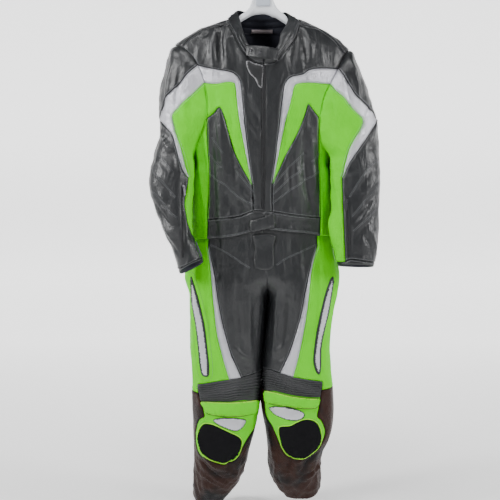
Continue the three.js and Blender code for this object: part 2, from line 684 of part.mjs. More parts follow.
// What lies beyond an armhole, down to its lowest point.
function beyondArmhole(side) {
  const arm = ARMHOLE[side];
  const out = side === 'left' ? -OUTSIDE : OUTSIDE;
  const low = arm.under[arm.under.length - 1];
  return polygon(
    [[arm.top[0][0], 0]], arm.top, seam(arm.upper), seam(arm.band), seam(arm.inner), seam(arm.under),
    [[out, low[1]], [out, 0]],
  );
}

function addTorso() {
  const whole = [0, torso.length - 1];
  const front = tubeWall(torso, FRONT, whole, TORSO_STEPS, TORSO_ROWS, -LEATHER, 0);
  const looks = {
    front_center: 'leather', chest_band: 'silver', chest_wedge: 'green', front_lower: 'leather',
    side_panel: 'green', waistband: 'leather',
  };
  for (const side of ['left', 'right']) {
    for (const [name, outline] of Object.entries(outlinesOfTorso(side))) {
      addSolid(`${name}_${side}`, looks[name], front.intersect(prism(outline)));
    }
  }
  const shoulderTop = (side) => polygon(
    [[NECK[side][0][0], 0]], [NECK[side][0]], seam(SHOULDER[side]), back(ARMHOLE[side].top),
    [[ARMHOLE[side].top[0][0], 0]],
  );
  const overTop = { left: [-SHOULDER_WRAP, SHOULDER_WRAP], right: [0.5 - SHOULDER_WRAP, 0.5 + SHOULDER_WRAP] };
  for (const side of ['left', 'right']) {
    const ridge = tubeWall(torso, overTop[side], [0, 7], 6, 9, -LEATHER, 0);
    addSolid(`shoulder_${side}`, 'leather', ridge.intersect(prism(shoulderTop(side))));
  }
  const rear = tubeWall(torso, BACK, whole, TORSO_BACK_STEPS, torso.length - 1, -LEATHER, 0);
  const backOutline = polygon(
    back(seam(NECK.back)), seam(SHOULDER.left), seam(ARMHOLE.left.upper), seam(ARMHOLE.left.band),
    seam(ARMHOLE.left.inner), seam(ARMHOLE.left.under),
    [[-OUTSIDE, ARMHOLE.left.under[3][1]], [-OUTSIDE, SIDE_HEM.left]],
    [[OUTSIDE, SIDE_HEM.right], [OUTSIDE, ARMHOLE.right.under[3][1]]], back(seam(ARMHOLE.right.under)),
    back(seam(ARMHOLE.right.inner)), back(seam(ARMHOLE.right.band)), back(seam(ARMHOLE.right.upper)),
    back(seam(SHOULDER.right)),
  );
  addSolid('back_panel', 'leather', rear.intersect(prism(backOutline)));
  const zipOutline = [
    [ZIP_FRONT.left, ZIP_FRONT.top], [ZIP_FRONT.right, ZIP_FRONT.top],
    [ZIP_FRONT.right, ZIP_FRONT.bottom], [ZIP_FRONT.left, ZIP_FRONT.bottom],
  ];
  const middle = [0.24, 0.26];
  const tape = tubeWall(torso, middle, [5, 14], 2, 10, -LEATHER, ZIP_FRONT.thickness - LEATHER);
  addSolid('front_zip', 'zip', tape.intersect(prism(zipOutline)));
  const raised = tubeWall(torso, FRONT, whole, TORSO_STEPS, TORSO_ROWS, LAYER, LAYER + LEATHER);
  addSolid('badge', 'leather', raised.intersect(prism(smooth([...BADGE, BADGE[0]]))));
  addSolid('waist_tab', 'leather', raised.intersect(prism(WAIST_TAB)));
}

function addCollar() {
  const path = COLLAR_BAND.map((s) => {
    const y = torsoDepth(s.baseX, s.baseZ, !s.baseIsBack);
    return {
      base: new THREE.Vector3(s.baseX, y, s.baseZ),
      top: new THREE.Vector3(s.topX, s.topY, s.topZ),
    };
  });
  const rows = 3;
  const pointAt = (i, j) => {
    const { base, top } = path[i];
    const share = j / rows;
    const point = base.clone().lerp(top, share);
    const centre = new THREE.Vector3(2, 0, point.z);
    const bulge = COLLAR_BULGE * 4 * share * (1 - share);
    return point.addScaledVector(point.clone().sub(centre).normalize(), bulge);
  };
  const surface = (i, j) => {
    const before = pointAt(Math.max(i - 1, 0), j);
    const after = pointAt(Math.min(i + 1, path.length - 1), j);
    const low = pointAt(i, Math.max(j - 1, 0));
    const high = pointAt(i, Math.min(j + 1, rows));
    const normal = after.sub(before).cross(high.sub(low)).normalize();
    const point = pointAt(i, j);
    const outward = point.clone().sub(new THREE.Vector3(2, 0, point.z));
    return { point, normal: normal.dot(outward) < 0 ? normal.negate() : normal };
  };
  addSolid('collar', 'leather', wall(path.length - 1, rows, surface, -COLLAR_THICKNESS, 0));
  const tabRows = COLLAR_TAB_SECTIONS;
  const tabSurface = (i, j) => {
    const { x, y, top, bottom } = tabRows[i];
    const z = top + ((bottom - top) * j) / 2;
    const lean = COLLAR_TAB_LEAN * (z - tabRows[2].top);
    return { point: new THREE.Vector3(x, y + lean, z), normal: new THREE.Vector3(x / 300, -1, 0.3).normalize() };
  };
  addSolid('collar_tab', 'leather', wall(tabRows.length - 1, 2, tabSurface, 0, LEATHER));
}

function outlinesOfSleeve(side) {
  const s = SLEEVE_SEAMS[side];
  const arm = ARMHOLE[side];
  const out = side === 'left' ? -OUTSIDE : OUTSIDE;
  const inX = side === 'left' ? -SLEEVE_INSIDE : SLEEVE_INSIDE;
  const low = arm.under[arm.under.length - 1];
  const end = s.cuffInner[1];
  return {
    sleeve_top: polygon(
      [[out, 0]], [[arm.top[0][0], 0]], arm.top, seam(arm.upper), seam(s.bandTop), [[out, s.bandTop[6][1]]],
    ),
    sleeve_band: polygon(
      seam(arm.band), seam(s.bandInner), back(seam(s.bandLow)), [[out, s.bandLow[0][1]]],
      [[out, s.bandTop[6][1]]], back(seam(s.bandTop)),
    ),
    sleeve_inner: polygon(
      seam(arm.inner), seam(arm.under), [[inX, low[1]], [inX, end[1]]], back(s.cuffInner), back(seam(s.strip)),
      back(seam(s.bandInner)),
    ),
    sleeve_lower: polygon(
      seam(s.bandLow), seam(s.strip), back(seam(s.cuffOuter)),
      [[out, s.cuffOuter[0][1]], [out, s.bandLow[0][1]]],
    ),
  };
}

function addSleeve(side) {
  const sections = sleeves[side];
  const s = SLEEVE_SEAMS[side];
  const last = sections.length - 1;
  const out = side === 'left' ? -OUTSIDE : OUTSIDE;
  const inX = side === 'left' ? -SLEEVE_INSIDE : SLEEVE_INSIDE;
  const end = s.cuffInner[1];
  const looks = { sleeve_top: 'leather', sleeve_band: 'silver', sleeve_inner: 'green', sleeve_lower: 'leather' };
  const front = tubeWall(sections, FRONT, [0, last], SLEEVE_STEPS, SLEEVE_ROWS, -LEATHER, 0);
  for (const [name, outline] of Object.entries(outlinesOfSleeve(side))) {
    addSolid(`${name}_${side}`, looks[name], front.intersect(prism(outline)));
  }
  const rear = tubeWall(sections, BACK, [0, last], SLEEVE_BACK_STEPS, SLEEVE_ROWS, -LEATHER, 0);
  const low = ARMHOLE[side].under[3];
  const rearOutline = polygon(
    [[out, 0]], beyondArmhole(side).slice(0, -2), [[inX, low[1]], [inX, end[1]]],
    back(s.cuffInner), back(seam(s.cuffOuter)), [[out, s.cuffOuter[0][1]]],
  );
  addSolid(`sleeve_rear_${side}`, 'leather', rear.intersect(prism(rearOutline)));
  const cuffOutline = polygon(
    seam(s.cuffOuter), s.cuffInner, [[inX, end[1]], [inX, -BEYOND], [out, -BEYOND]], [[out, s.cuffOuter[0][1]]],
  );
  const cuff = tubeWall(sections, [0, 1], [last - 2, last], 16, 4, -LEATHER, 0);
  addSolid(`cuff_${side}`, 'leather', cuff.intersect(prism(cuffOutline)));
  const zip = FOREARM_ZIP[side];
  const half = zip.width / 2;
  const path = smooth(zip.path);
  const strip = polygon(path.map(([x, z]) => [x - half, z]), back(path.map(([x, z]) => [x + half, z])));
  const top = LAYER + ZIP_FRONT.thickness;
  const raised = tubeWall(sections, FRONT, [0, last], SLEEVE_STEPS, SLEEVE_ROWS, LAYER, top);
  addSolid(`forearm_zip_${side}`, 'zip', raised.intersect(prism(strip)));
}

function box(width, depth, height, x, y, z) {
  return new THREE.BoxGeometry(width, depth, height).translate(x, y, z);
}

// The slider of a forearm zip with its two lugs, and the puller that hangs from a knuckle between them.
function addPuller(side) {
  const sections = sleeves[side];
  const { round, v, gap } = PULLER_PLACE[side];
  const point = tubePoint(sections, round, v);
  const inward = tubeNormal(sections, round, v).negate();
  const up = point.clone().sub(tubePoint(sections, round, v + 0.2));
  up.addScaledVector(inward, -up.dot(inward)).normalize();
  const frame = new THREE.Group();
  frame.quaternion.setFromRotationMatrix(new THREE.Matrix4().makeBasis(inward.clone().cross(up), inward, up));
  frame.position.copy(point);
  suit.add(frame);
  const base = LAYER + ZIP_FRONT.thickness + gap;
  const face = base + SLIDER.thickness;
  const { width, height, thickness, lug, lugReach, lugHeight } = SLIDER;
  const lugY = -(face + lugReach / 2 - SLIDER.sunk);
  const lugZ = (lugHeight - height) / 2;
  const slider = [-1, 1].reduce(
    (solid, end) => solid.add(
      solidFromGeometry(box(lug, lugReach + 2 * SLIDER.sunk, lugHeight, (end * (width - lug)) / 2, lugY, lugZ)),
    ),
    solidFromGeometry(box(width, thickness, height, 0, -(base + thickness / 2), 0)),
  );
  addSolid(`forearm_slider_${side}`, 'puller', slider, frame);
  const pivot = new THREE.Vector3(0, -(face + PULLER.stand), -PULLER.drop);
  const knuckle = new THREE.CylinderGeometry(PULLER.knuckle, PULLER.knuckle, PULLER.knuckleWidth, 10);
  knuckle.rotateZ(Math.PI / 2);
  knuckle.translate(pivot.x, pivot.y, pivot.z);
  const neck = box(PULLER.knuckleWidth, PULLER.thickness, 4, 0, pivot.y, pivot.z - 2);
  const plateHeight = PULLER.length - 3;
  const plate = box(PULLER.width, PULLER.thickness, plateHeight, 0, pivot.y, pivot.z - 3 - plateHeight / 2);
  const puller = solidFromGeometry(knuckle).add(solidFromGeometry(neck)).add(solidFromGeometry(plate));
  addSolid(`forearm_puller_${side}`, 'puller', puller, frame);
}

function outlinesOfLeg(side) {
  const s = LEG_SEAMS[side];
  const out = side === 'left' ? -OUTSIDE : OUTSIDE;
  const inX = side === 'left' ? PAST_CROTCH : -PAST_CROTCH;
  const start = s.bandInner[0];
  const kneeEnd = s.kneeInner[s.kneeInner.length - 1];
  const lowEnd = s.kneeLow[s.kneeLow.length - 1];
  return {
    leg_front: polygon(
      [[start[0], ABOVE_LEGS]], seam(s.bandInner), s.kneeInner, [[inX, kneeEnd[1]], [inX, ABOVE_LEGS]],
    ),
    leg_band: polygon(seam(s.bandInner), back(s.kneeBand), back(seam(s.bandOuter))),
    leg_outer: polygon(
      [[start[0], ABOVE_LEGS]], seam(s.bandOuter), back(s.kneeOuter), s.side, back(s.sideLow),
      [[out, s.sideLow[0][1]], [out, ABOVE_LEGS]],
    ),
    knee_stretch: polygon(
      s.side, s.stretchSide, seam(s.kneeLow), [[inX, lowEnd[1]], [inX, kneeEnd[1]]],
      back(s.kneeInner), back(s.kneeBand), back(s.kneeOuter),
    ),
    shin: polygon(
      [[out, s.sideLow[0][1]]], s.sideLow, s.stretchSide, seam(s.kneeLow),
      [[inX, lowEnd[1]], [inX, -BEYOND], [out, -BEYOND]],
    ),
    knee_panel: polygon(seam(s.kneeLow), seam(s.knee)),
  };
}

function addLeg(side) {
  const sections = legs[side];
  const s = LEG_SEAMS[side];
  const last = sections.length - 1;
  const outlines = outlinesOfLeg(side);
  const front = tubeWall(sections, FRONT, [0, last], LEG_STEPS, LEG_ROWS, -LEATHER, 0);
  const looks = {
    leg_front: 'leather', leg_band: 'silver', leg_outer: 'green', knee_stretch: 'stretch', knee_panel: 'green',
  };
  for (const [name, look] of Object.entries(looks)) {
    addSolid(`${name}_${side}`, look, front.intersect(prism(outlines[name])));
  }
  const shin = front.intersect(prism(outlines.shin)).subtract(prism(outlines.knee_panel, -SEAM / 2));
  addSolid(`shin_${side}`, 'shin', shin);
  const rear = tubeWall(sections, BACK, [0, last], LEG_BACK_STEPS, LEG_ROWS, -LEATHER, 0);
  addSolid(`leg_rear_${side}`, 'stretch', rear);
  const raised = tubeWall(sections, FRONT, [0, last], LEG_STEPS, LEG_ROWS, LAYER, LAYER + LEATHER);
  const pad = tubeWall(sections, FRONT, [0, last], LEG_STEPS, LEG_ROWS, LAYER, LAYER + 2 * LEATHER);
  addSolid(`thigh_patch_${side}`, 'silver', raised.intersect(prism(smooth([...s.patch, s.patch[0]]))));
  addSolid(`knee_flap_${side}`, 'green', raised.intersect(prism(smooth([...s.flap, s.flap[0]]))));
  addSolid(`knee_loop_${side}`, 'loop', pad.intersect(prism(smooth([...s.loop, s.loop[0]]))));
}

// The fly lies across both legs, on the whole hip's curve.
function addFly() {
  const hip = LEG_LEFT.slice(0, 6).map((s, i) => (
    { ...s, innerX: LEG_RIGHT[i].outerX, innerZ: s.outerZ, hold: 0 }
  ));
  const cover = tubeWall(tubeSections(hip), [0.2, 0.3], [0, 4], 8, 8, FLY_LIFT, FLY_LIFT + LEATHER);
  addSolid('fly', 'leather', cover.intersect(prism(FLY)));
}

function addHanger() {
  const columns = HANGER.length - 1;
  const positions = [];
  const triangles = [];
  for (const s of HANGER) {
    for (let k = 0; k < HANGER_SIDES; k++) {
      const angle = (2 * Math.PI * k) / HANGER_SIDES;
      const z = (s.top + s.bottom) / 2 + ((s.top - s.bottom) / 2) * Math.cos(angle);
      positions.push(s.x, 5 + s.depth * Math.sin(angle), z);
    }
  }
  const at = (i, k) => i * HANGER_SIDES + (k % HANGER_SIDES);
  for (let k = 0; k < HANGER_SIDES; k++) {
    for (let i = 0; i < columns; i++) {
      triangles.push(at(i, k), at(i + 1, k), at(i + 1, k + 1));
      triangles.push(at(i, k), at(i + 1, k + 1), at(i, k + 1));
    }
    if (k > 1) {
      triangles.push(at(0, 0), at(0, k - 1), at(0, k));
      triangles.push(at(columns, 0), at(columns, k), at(columns, k - 1));
    }
  }
  const body = solidFrom(positions, triangles);
  const hookPath = new THREE.CatmullRomCurve3([
    new THREE.Vector3(0, 5, HOOK.foot - 6),
    new THREE.Vector3(0, 5, HOOK.foot),
    new THREE.Vector3(3, 4, HOOK.turn),
    new THREE.Vector3(18, 1, HOOK.turn + 10),
    new THREE.Vector3(HOOK.radius, 0, HOOK.wire - HOOK.radius),
    new THREE.Vector3(HOOK.radius * 0.7, 0, HOOK.wire - HOOK.radius * 0.3),
    new THREE.Vector3(0, 0, HOOK.wire),
    new THREE.Vector3(-HOOK.radius * 0.7, 0, HOOK.wire - HOOK.radius * 0.3),
    new THREE.Vector3(-HOOK.radius, 0, HOOK.wire - HOOK.radius),
    new THREE.Vector3(-HOOK.radius * 0.86, 0, HOOK.wire - HOOK.radius * 1.5),
  ]);
  const ring = new THREE.Shape();
  ring.absarc(0, 0, HOOK.wire, 0, 2 * Math.PI, false);
  const wire = new THREE.ExtrudeGeometry(ring, {
    steps: HOOK.steps, curveSegments: HOOK.sides, extrudePath: hookPath,
  });
  addSolid('hanger', 'hanger', body.add(solidFromGeometry(wire)));
}

addHanger();
addCollar();
addTorso();
addFly();
for (const side of ['left', 'right']) {
  addSleeve(side);
  addPuller(side);
  addLeg(side);
}

export default suit;
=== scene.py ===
import math
from contextlib import contextmanager

import bmesh
import bpy
import numpy as np
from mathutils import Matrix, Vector, kdtree, noise
from mathutils.geometry import delaunay_2d_cdt


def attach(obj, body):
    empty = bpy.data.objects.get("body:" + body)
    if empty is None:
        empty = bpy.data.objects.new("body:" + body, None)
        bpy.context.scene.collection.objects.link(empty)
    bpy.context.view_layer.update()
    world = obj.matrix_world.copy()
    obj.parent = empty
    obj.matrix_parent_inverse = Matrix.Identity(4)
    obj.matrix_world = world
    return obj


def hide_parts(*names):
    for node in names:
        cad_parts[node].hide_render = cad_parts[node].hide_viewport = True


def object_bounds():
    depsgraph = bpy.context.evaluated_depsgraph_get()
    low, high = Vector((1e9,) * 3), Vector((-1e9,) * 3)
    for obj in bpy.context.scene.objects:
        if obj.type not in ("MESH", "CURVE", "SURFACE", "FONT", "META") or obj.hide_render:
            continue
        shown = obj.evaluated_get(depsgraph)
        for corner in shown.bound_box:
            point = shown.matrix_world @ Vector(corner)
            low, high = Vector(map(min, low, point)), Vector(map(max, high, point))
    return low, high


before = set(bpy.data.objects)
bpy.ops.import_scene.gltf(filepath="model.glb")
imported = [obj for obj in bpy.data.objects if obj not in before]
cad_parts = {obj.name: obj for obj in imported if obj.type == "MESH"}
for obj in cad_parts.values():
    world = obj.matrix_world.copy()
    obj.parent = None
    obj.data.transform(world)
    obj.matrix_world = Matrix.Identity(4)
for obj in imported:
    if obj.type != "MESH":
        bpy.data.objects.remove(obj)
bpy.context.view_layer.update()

# Sizes are in millimetres up to the point where a mesh is made. Front-view points are (x, z).
MM = 0.001
FULLNESS = 2.3  # the power of a tube's rounded cross-section
OUTSIDE = 420  # a distance beyond the sleeves, for outlines that run past a tube's edge
BEYOND = 1700  # a depth below the trousers' lower edges
STEP = 5.2  # between the points of a cut panel
SLEEVE_STEPS = (4.6, 7.0)  # the same for the sleeves' front and rear panels
LEG_STEPS = (5.0, 8.0)
WALL = 1.7  # the leather's thickness
PIECE_WALL = 0.9  # the thickness of a piece that lies on a panel
PIECE_EDGE = 0.5  # how deep the edge of such a piece is sunk
CRUMPLE_TOP = -1345  # below this height the shins are crumpled
ZIP_X = 3.0  # the front zip's line
SEWN = 4  # from a seam to its rows of stitches
SUIT = "suit"
SIDES = ("left", "right")
OUT = {"left": -1, "right": 1}

TORSO = [
    # z, left, right, y, front, back
    (-142, -99, 104, 5, 62, 60),
    (-154, -137, 134, 5, 68, 64),
    (-169, -178, 169, 5, 74, 68),
    (-187, -209, 195, 5, 78, 72),
    (-204, -234, 220, 5, 82, 76),
    (-223, -250, 239, 5, 86, 80),
    (-255, -253, 248, 5, 91, 84),
    (-310, -248, 243, 4, 96, 87),
    (-381, -232, 229, 3, 98, 88),
    (-455, -211, 211, 2, 96, 86),
    (-524, -189, 187, 2, 92, 82),
    (-558, -195, 195, 2, 90, 80),
    (-602, -197, 197, 2, 87, 79),
    (-674, -198, 198, 2, 82, 76),
    (-758, -202, 202, 2, 80, 75),
]
SLEEVE_LEFT = [
    # outer x, outer z, inner x, inner z, y, front, back, tilt, set in, hold
    (-251, -222, -235, -213, 5, 32, 30, 0, 1, 0),
    (-257, -239, -219, -219, 5, 52, 48, 0, 1, 0),
    (-264, -261, -194, -241, 4, 68, 63, 0, 1, 0),
    (-269, -285, -175, -269, 3, 77, 71, 0, 1, 0),
    (-276, -310, -164, -295, 2, 81, 75, 0, 1, 0),
    (-282, -334, -156, -321, 0, 83, 79, 0, 1, 0),
    (-285, -362, -150, -351, -2, 83, 82, 0, 1, 0),
    (-283, -394, -148, -383, -5, 81, 83, 0, 1, 0),
    (-281, -427, -152, -413, -9, 77, 83, 0, 1, 0),
    (-283, -458, -162, -441, -13, 73, 81, 0, 1, 0),
    (-290, -485, -177, -474, -19, 70, 77, -0.05, 1, 0),
    (-297, -512, -197, -507, -27, 66, 70, -0.1, 0, 0.3),
    (-304, -545, -197, -539, -40, 62, 62, -0.15, 0, 0),
    (-310, -577, -194, -572, -50, 59, 56, -0.2, 0, 0),
    (-306, -612, -190, -612, -57, 56, 52, -0.22, 0, 0),
    (-296, -647, -190, -650, -65, 53, 49, -0.24, 0, 0),
    (-282, -682, -191, -690, -74, 50, 47, -0.26, 0, 0),
    (-266, -722, -188, -728, -83, 48, 45, -0.28, 0, 0),
    (-247, -762, -175, -758, -92, 46, 43, -0.3, 0, 0),
    (-225, -827, -160, -793, -101, 43, 40, -0.3, 0, 0),
]
SLEEVE_RIGHT = [
    (248, -233, 238, -226, 5, 32, 30, 0, 1, 0),
    (255, -250, 227, -235, 5, 52, 48, 0, 1, 0),
    (264, -271, 214, -257, 4, 68, 62, 0, 1, 0),
    (275, -293, 202, -283, 3, 77, 70, 0, 1, 0),
    (285, -318, 190, -307, 2, 81, 74, 0, 1, 0),
    (294, -342, 175, -336, 0, 83, 77, 0, 1, 0),
    (301, -367, 164, -364, -2, 83, 80, 0, 1, 0),
    (310, -397, 158, -393, -5, 81, 81, 0, 1, 0),
    (318, -430, 154, -423, -9, 77, 82, 0, 1, 0),
    (321, -463, 155, -452, -13, 73, 82, 0, 1, 0),
    (322, -496, 164, -484, -19, 71, 79, -0.05, 1, 0),
    (323, -523, 192, -515, -27, 68, 70, -0.1, 0, 0.3),
    (323, -556, 197, -547, -40, 65, 62, -0.13, 0, 0),
    (322, -591, 194, -583, -50, 62, 57, -0.16, 0, 0),
    (320, -626, 189, -623, -53, 59, 54, -0.18, 0, 0),
    (319, -664, 189, -661, -60, 56, 51, -0.2, 0, 0),
    (318, -702, 191, -696, -66, 53, 49, -0.2, 0, 0),
    (316, -740, 197, -734, -71, 50, 47, -0.2, 0, 0),
    (311, -778, 203, -772, -76, 47, 44, -0.2, 0, 0),
    (304, -812, 206, -809, -80, 44, 42, -0.2, 0, 0),
]
LEG_LEFT = [
    # outer x, outer z, inner x, inner z, y, front, back, tilt, hold
    (-196, -705, 2.3, -705, 2, 78.3, 72.7, 0, 1),
    (-198, -741, 2.3, -741, 2, 77.3, 72.2, 0, 1),
    (-200, -775, 5.3, -775, 2, 79, 75, 0, 1),
    (-208, -812, 8.3, -812, 2, 82, 81, 0, 1),
    (-217, -852, 13.3, -852, 2, 84, 87, 0, 0.93),
    (-205, -894, 15.3, -888, 2, 85, 89, 0, 0.45),
    (-203, -940, 14.5, -928, 2, 84, 87, 0, 0),
    (-203, -1003, 8.5, -997, 2, 82, 84, 0, 0),
    (-202, -1068, 3, -1060, 1, 80, 80, 0, 0),
    (-197, -1140, -1, -1120, 0, 78, 76, 0, 0),
    (-196, -1183, -3.5, -1160, -2, 78, 72, 0.05, 0),
    (-196, -1217, -5, -1197, -4, 80, 68, 0.1, 0),
    (-195, -1255, -10, -1235, -3, 84, 64, 0.2, 0),
    (-194, -1291, -20, -1283, 0, 86, 60, 0.3, 0),
    (-193, -1332, -33, -1329, 9, 84, 58, 0.4, 0),
    (-193, -1381, -45, -1381, 26, 76, 57, 0.5, 0),
    (-196, -1433, -64, -1430, 48, 68, 56, 0.55, 0),
    (-200, -1491, -86, -1464, 70, 64, 55, 0.55, 0),
]
LEG_RIGHT = [
    (196, -705, 2.7, -705, 2, 78.3, 72.7, 0, 1),
    (198, -741, 2.7, -741, 2, 77.3, 72.2, 0, 1),
    (205, -775, 5.7, -775, 2, 79, 75, 0, 1),
    (213, -812, 8.7, -812, 2, 82, 81, 0, 1),
    (217, -852, 13.7, -852, 2, 84, 87, 0, 0.93),
    (212, -894, 15.7, -888, 2, 85, 89, 0, 0.45),
    (203, -940, 15.5, -928, 2, 84, 87, 0, 0),
    (194, -1003, 9.5, -997, 2, 82, 84, 0, 0),
    (191, -1060, 4, -1060, 1, 80, 80, 0, 0),
    (198, -1129, 0.6, -1111, 0, 78, 76, 0, 0),
    (203, -1177, -1.4, -1148, -2, 78, 72, 0.05, 0),
    (204, -1212, -3, -1186, -4, 80, 68, 0.1, 0),
    (202, -1250, 1, -1226, -3, 84, 64, 0.2, 0),
    (197, -1288, 11, -1277, 0, 86, 60, 0.3, 0),
    (179, -1332, 17, -1329, 9, 84, 58, 0.36, 0),
    (168, -1378, 20, -1381, 24, 77, 57, 0.4, 0),
    (170, -1425, 29, -1428, 42, 70, 56, 0.4, 0),
    (169, -1468, 50, -1468, 58, 66, 55, 0.36, 0),
]
NECK = {
    "left": [[-97, -146], [-91, -161], [-80, -178], [-64, -216], [-43, -245], [-21, -260], [3, -265]],
    "right": [[103, -149], [98, -162], [88, -190], [71, -217], [52, -242], [29, -261], [3, -265]],
    "back": [[-91, -161], [-50, -170], [3, -173], [55, -170], [98, -162]],
}
SHOULDER = {
    "left": [[-91, -161], [-113, -159], [-140, -166], [-168, -178], [-195, -196], [-219, -219]],
    "right": [[98, -162], [130, -165], [152, -169], [171, -179], [193, -198], [225, -236]],
}
ARMHOLE = {
    "left": {
        "top": [[-242, -208], [-219, -219]],
        "upper": [[-219, -219], [-194, -241], [-175, -269]],
        "band": [[-175, -269], [-165, -293], [-157, -316]],
        "inner": [[-157, -316], [-150, -345], [-148, -377], [-151, -410]],
        "under": [[-151, -410], [-159, -439], [-177, -474], [-194, -510]],
    },
    "right": {
        "top": [[242, -217], [225, -236]],
        "upper": [[225, -236], [214, -256], [205, -278]],
        "band": [[205, -278], [193, -300], [183, -319]],
        "inner": [[183, -319], [167, -356], [158, -393], [153, -408]],
        "under": [[153, -408], [160, -449], [169, -482], [184, -517]],
    },
}
CHEST = {
    "left": {
        "bandTop": [[-175, -269], [-134, -279], [-96, -285], [-75, -293], [-61, -311], [-57, -340],
            [-47, -441], [-28, -589]],
        "bandLow": [[-157, -316], [-126, -319], [-96, -314], [-77, -316], [-72, -330], [-62, -415],
            [-38, -538], [-28, -589]],
        "wedgeLow": [[-151, -410], [-132, -397], [-115, -380], [-102, -407], [-83, -479], [-65, -522],
            [-28, -589]],
        "side": [[-151, -410], [-149, -495], [-147, -563], [-150, -685]],
        "sideLow": [[-150, -685], [-152, -739]],
        "frontDart": [[-28, -589], [-26, -624], [-24, -660]],
        "waist": [[-150, -685], [-87, -679], [-60, -674], [-24, -660]],
        "waistMiddle": [[-24, -660], [3, -660]],
        "hem": [[-152, -739], [-115, -737], [-74, -731], [-33, -720], [3, -712]],
    },
    "right": {
        "bandTop": [[205, -278], [156, -277], [126, -282], [107, -294], [77, -301], [64, -314], [57, -338],
            [43, -455], [27, -586]],
        "bandLow": [[183, -319], [137, -316], [102, -317], [86, -324], [79, -351], [54, -455], [27, -586]],
        "wedgeLow": [[153, -408], [137, -388], [123, -373], [113, -401], [94, -449], [65, -503], [27, -586]],
        "side": [[153, -408], [155, -482], [159, -563], [160, -680]],
        "sideLow": [[160, -680], [159, -731]],
        "frontDart": [[27, -586], [26, -624], [27, -662]],
        "waist": [[160, -680], [104, -674], [63, -668], [27, -662]],
        "waistMiddle": [[27, -662], [3, -660]],
        "hem": [[159, -731], [118, -724], [76, -720], [35, -715], [3, -712]],
    },
}
SIDE_HEM = {"left": -741, "right": -733}
SLEEVE_SEAMS = {
    "left": {
        "bandTop": [[-175, -269], [-198, -289], [-220, -315], [-248, -342], [-263, -361], [-271, -385],
            [-282, -413]],
        "bandLow": [[-281, -415], [-263, -433], [-245, -452], [-234, -481], [-226, -513], [-215, -546],
            [-200, -570]],
        "bandInner": [[-157, -316], [-185, -343], [-212, -367], [-234, -391], [-244, -406], [-238, -436],
            [-218, -495], [-200, -570]],
        "strip": [[-200, -570], [-203, -597], [-208, -640], [-199, -693], [-188, -727], [-166, -783]],
        "cuffInner": [[-166, -783], [-130, -765]],
        "cuffOuter": [[-280, -841], [-231, -817], [-220, -809], [-192, -796], [-166, -783]],
    },
    "right": {
        "bandTop": [[205, -278], [217, -295], [231, -319], [247, -345], [269, -366], [293, -386],
            [312, -413]],
        "bandLow": [[312, -415], [298, -439], [281, -463], [253, -500], [234, -527], [213, -570]],
        "bandInner": [[183, -319], [198, -337], [220, -356], [236, -377], [258, -399], [272, -413],
            [269, -431], [234, -492], [213, -570]],
        "strip": [[213, -570], [215, -628], [218, -695], [221, -763], [222, -794]],
        "cuffInner": [[222, -794], [190, -800]],
        "cuffOuter": [[340, -799], [304, -797], [263, -790], [237, -788], [222, -794]],
    },
}
LEG_SEAMS = {
    "left": {
        "bandInner": [[-150, -759], [-144, -785], [-132, -836], [-121, -912], [-107, -982], [-88, -1052],
            [-58, -1123]],
        "bandOuter": [[-150, -759], [-144, -810], [-133, -926], [-124, -1002], [-108, -1069], [-91, -1127]],
        "kneeInner": [[-58, -1123], [-33, -1118], [-3, -1113]],
        "kneeBand": [[-91, -1127], [-58, -1123]],
        "kneeOuter": [[-180, -1146], [-130, -1134], [-91, -1127]],
        "side": [[-180, -1146], [-180, -1171]],
        "sideLow": [[-260, -1171], [-180, -1171]],
        "stretchSide": [[-180, -1171], [-170, -1191]],
        "kneeLow": [[-170, -1191], [-130, -1188], [-89, -1188], [-47, -1186], [-9, -1195]],
        "knee": [[-9, -1195], [-10, -1227], [-16, -1264], [-31, -1285], [-53, -1318], [-67, -1343],
            [-84, -1363], [-103, -1370], [-126, -1363], [-148, -1349], [-171, -1347], [-183, -1331],
            [-187, -1309], [-185, -1272], [-174, -1244], [-161, -1234], [-164, -1215], [-170, -1191]],
    },
    "right": {
        "bandInner": [[153, -758], [137, -801], [120, -876], [104, -959], [77, -1049], [50, -1111]],
        "bandOuter": [[153, -758], [141, -801], [134, -836], [127, -904], [118, -973], [102, -1057],
            [86, -1120]],
        "kneeInner": [[50, -1111], [25, -1105], [3, -1108]],
        "kneeBand": [[86, -1120], [50, -1111]],
        "kneeOuter": [[168, -1136], [124, -1127], [86, -1120]],
        "side": [[168, -1136], [168, -1159]],
        "sideLow": [[260, -1159], [168, -1159]],
        "stretchSide": [[168, -1159], [161, -1179]],
        "kneeLow": [[161, -1179], [119, -1175], [77, -1169], [36, -1162], [5, -1165]],
        "knee": [[5, -1165], [6, -1202], [9, -1231], [18, -1249], [31, -1272], [42, -1295], [53, -1319],
            [67, -1340], [86, -1353], [109, -1350], [134, -1341], [153, -1328], [169, -1304], [176, -1282],
            [173, -1264], [164, -1244], [153, -1231], [157, -1208], [161, -1179]],
    },
}
THIGH_PATCH = {
    "left": [[-199, -843], [-188, -861], [-176, -899], [-160, -967], [-152, -1031], [-146, -1081],
        [-147, -1116], [-161, -1122], [-171, -1107], [-180, -1034], [-190, -960], [-199, -912]],
    "right": [[196, -843], [199, -861], [192, -909], [180, -970], [166, -1033], [164, -1098], [158, -1116],
        [147, -1104], [141, -1073], [145, -1031], [157, -955], [170, -897], [185, -855]],
}
KNEE_FLAP = {
    "left": [[-168, -1193], [-130, -1190], [-89, -1190], [-47, -1189], [-12, -1193], [-9, -1214],
        [-17, -1227], [-42, -1229], [-75, -1230], [-116, -1228], [-150, -1224], [-163, -1209]],
    "right": [[8, -1167], [36, -1165], [77, -1172], [119, -1178], [157, -1182], [160, -1189], [154, -1204],
        [138, -1208], [91, -1205], [50, -1200], [20, -1199], [8, -1193]],
}
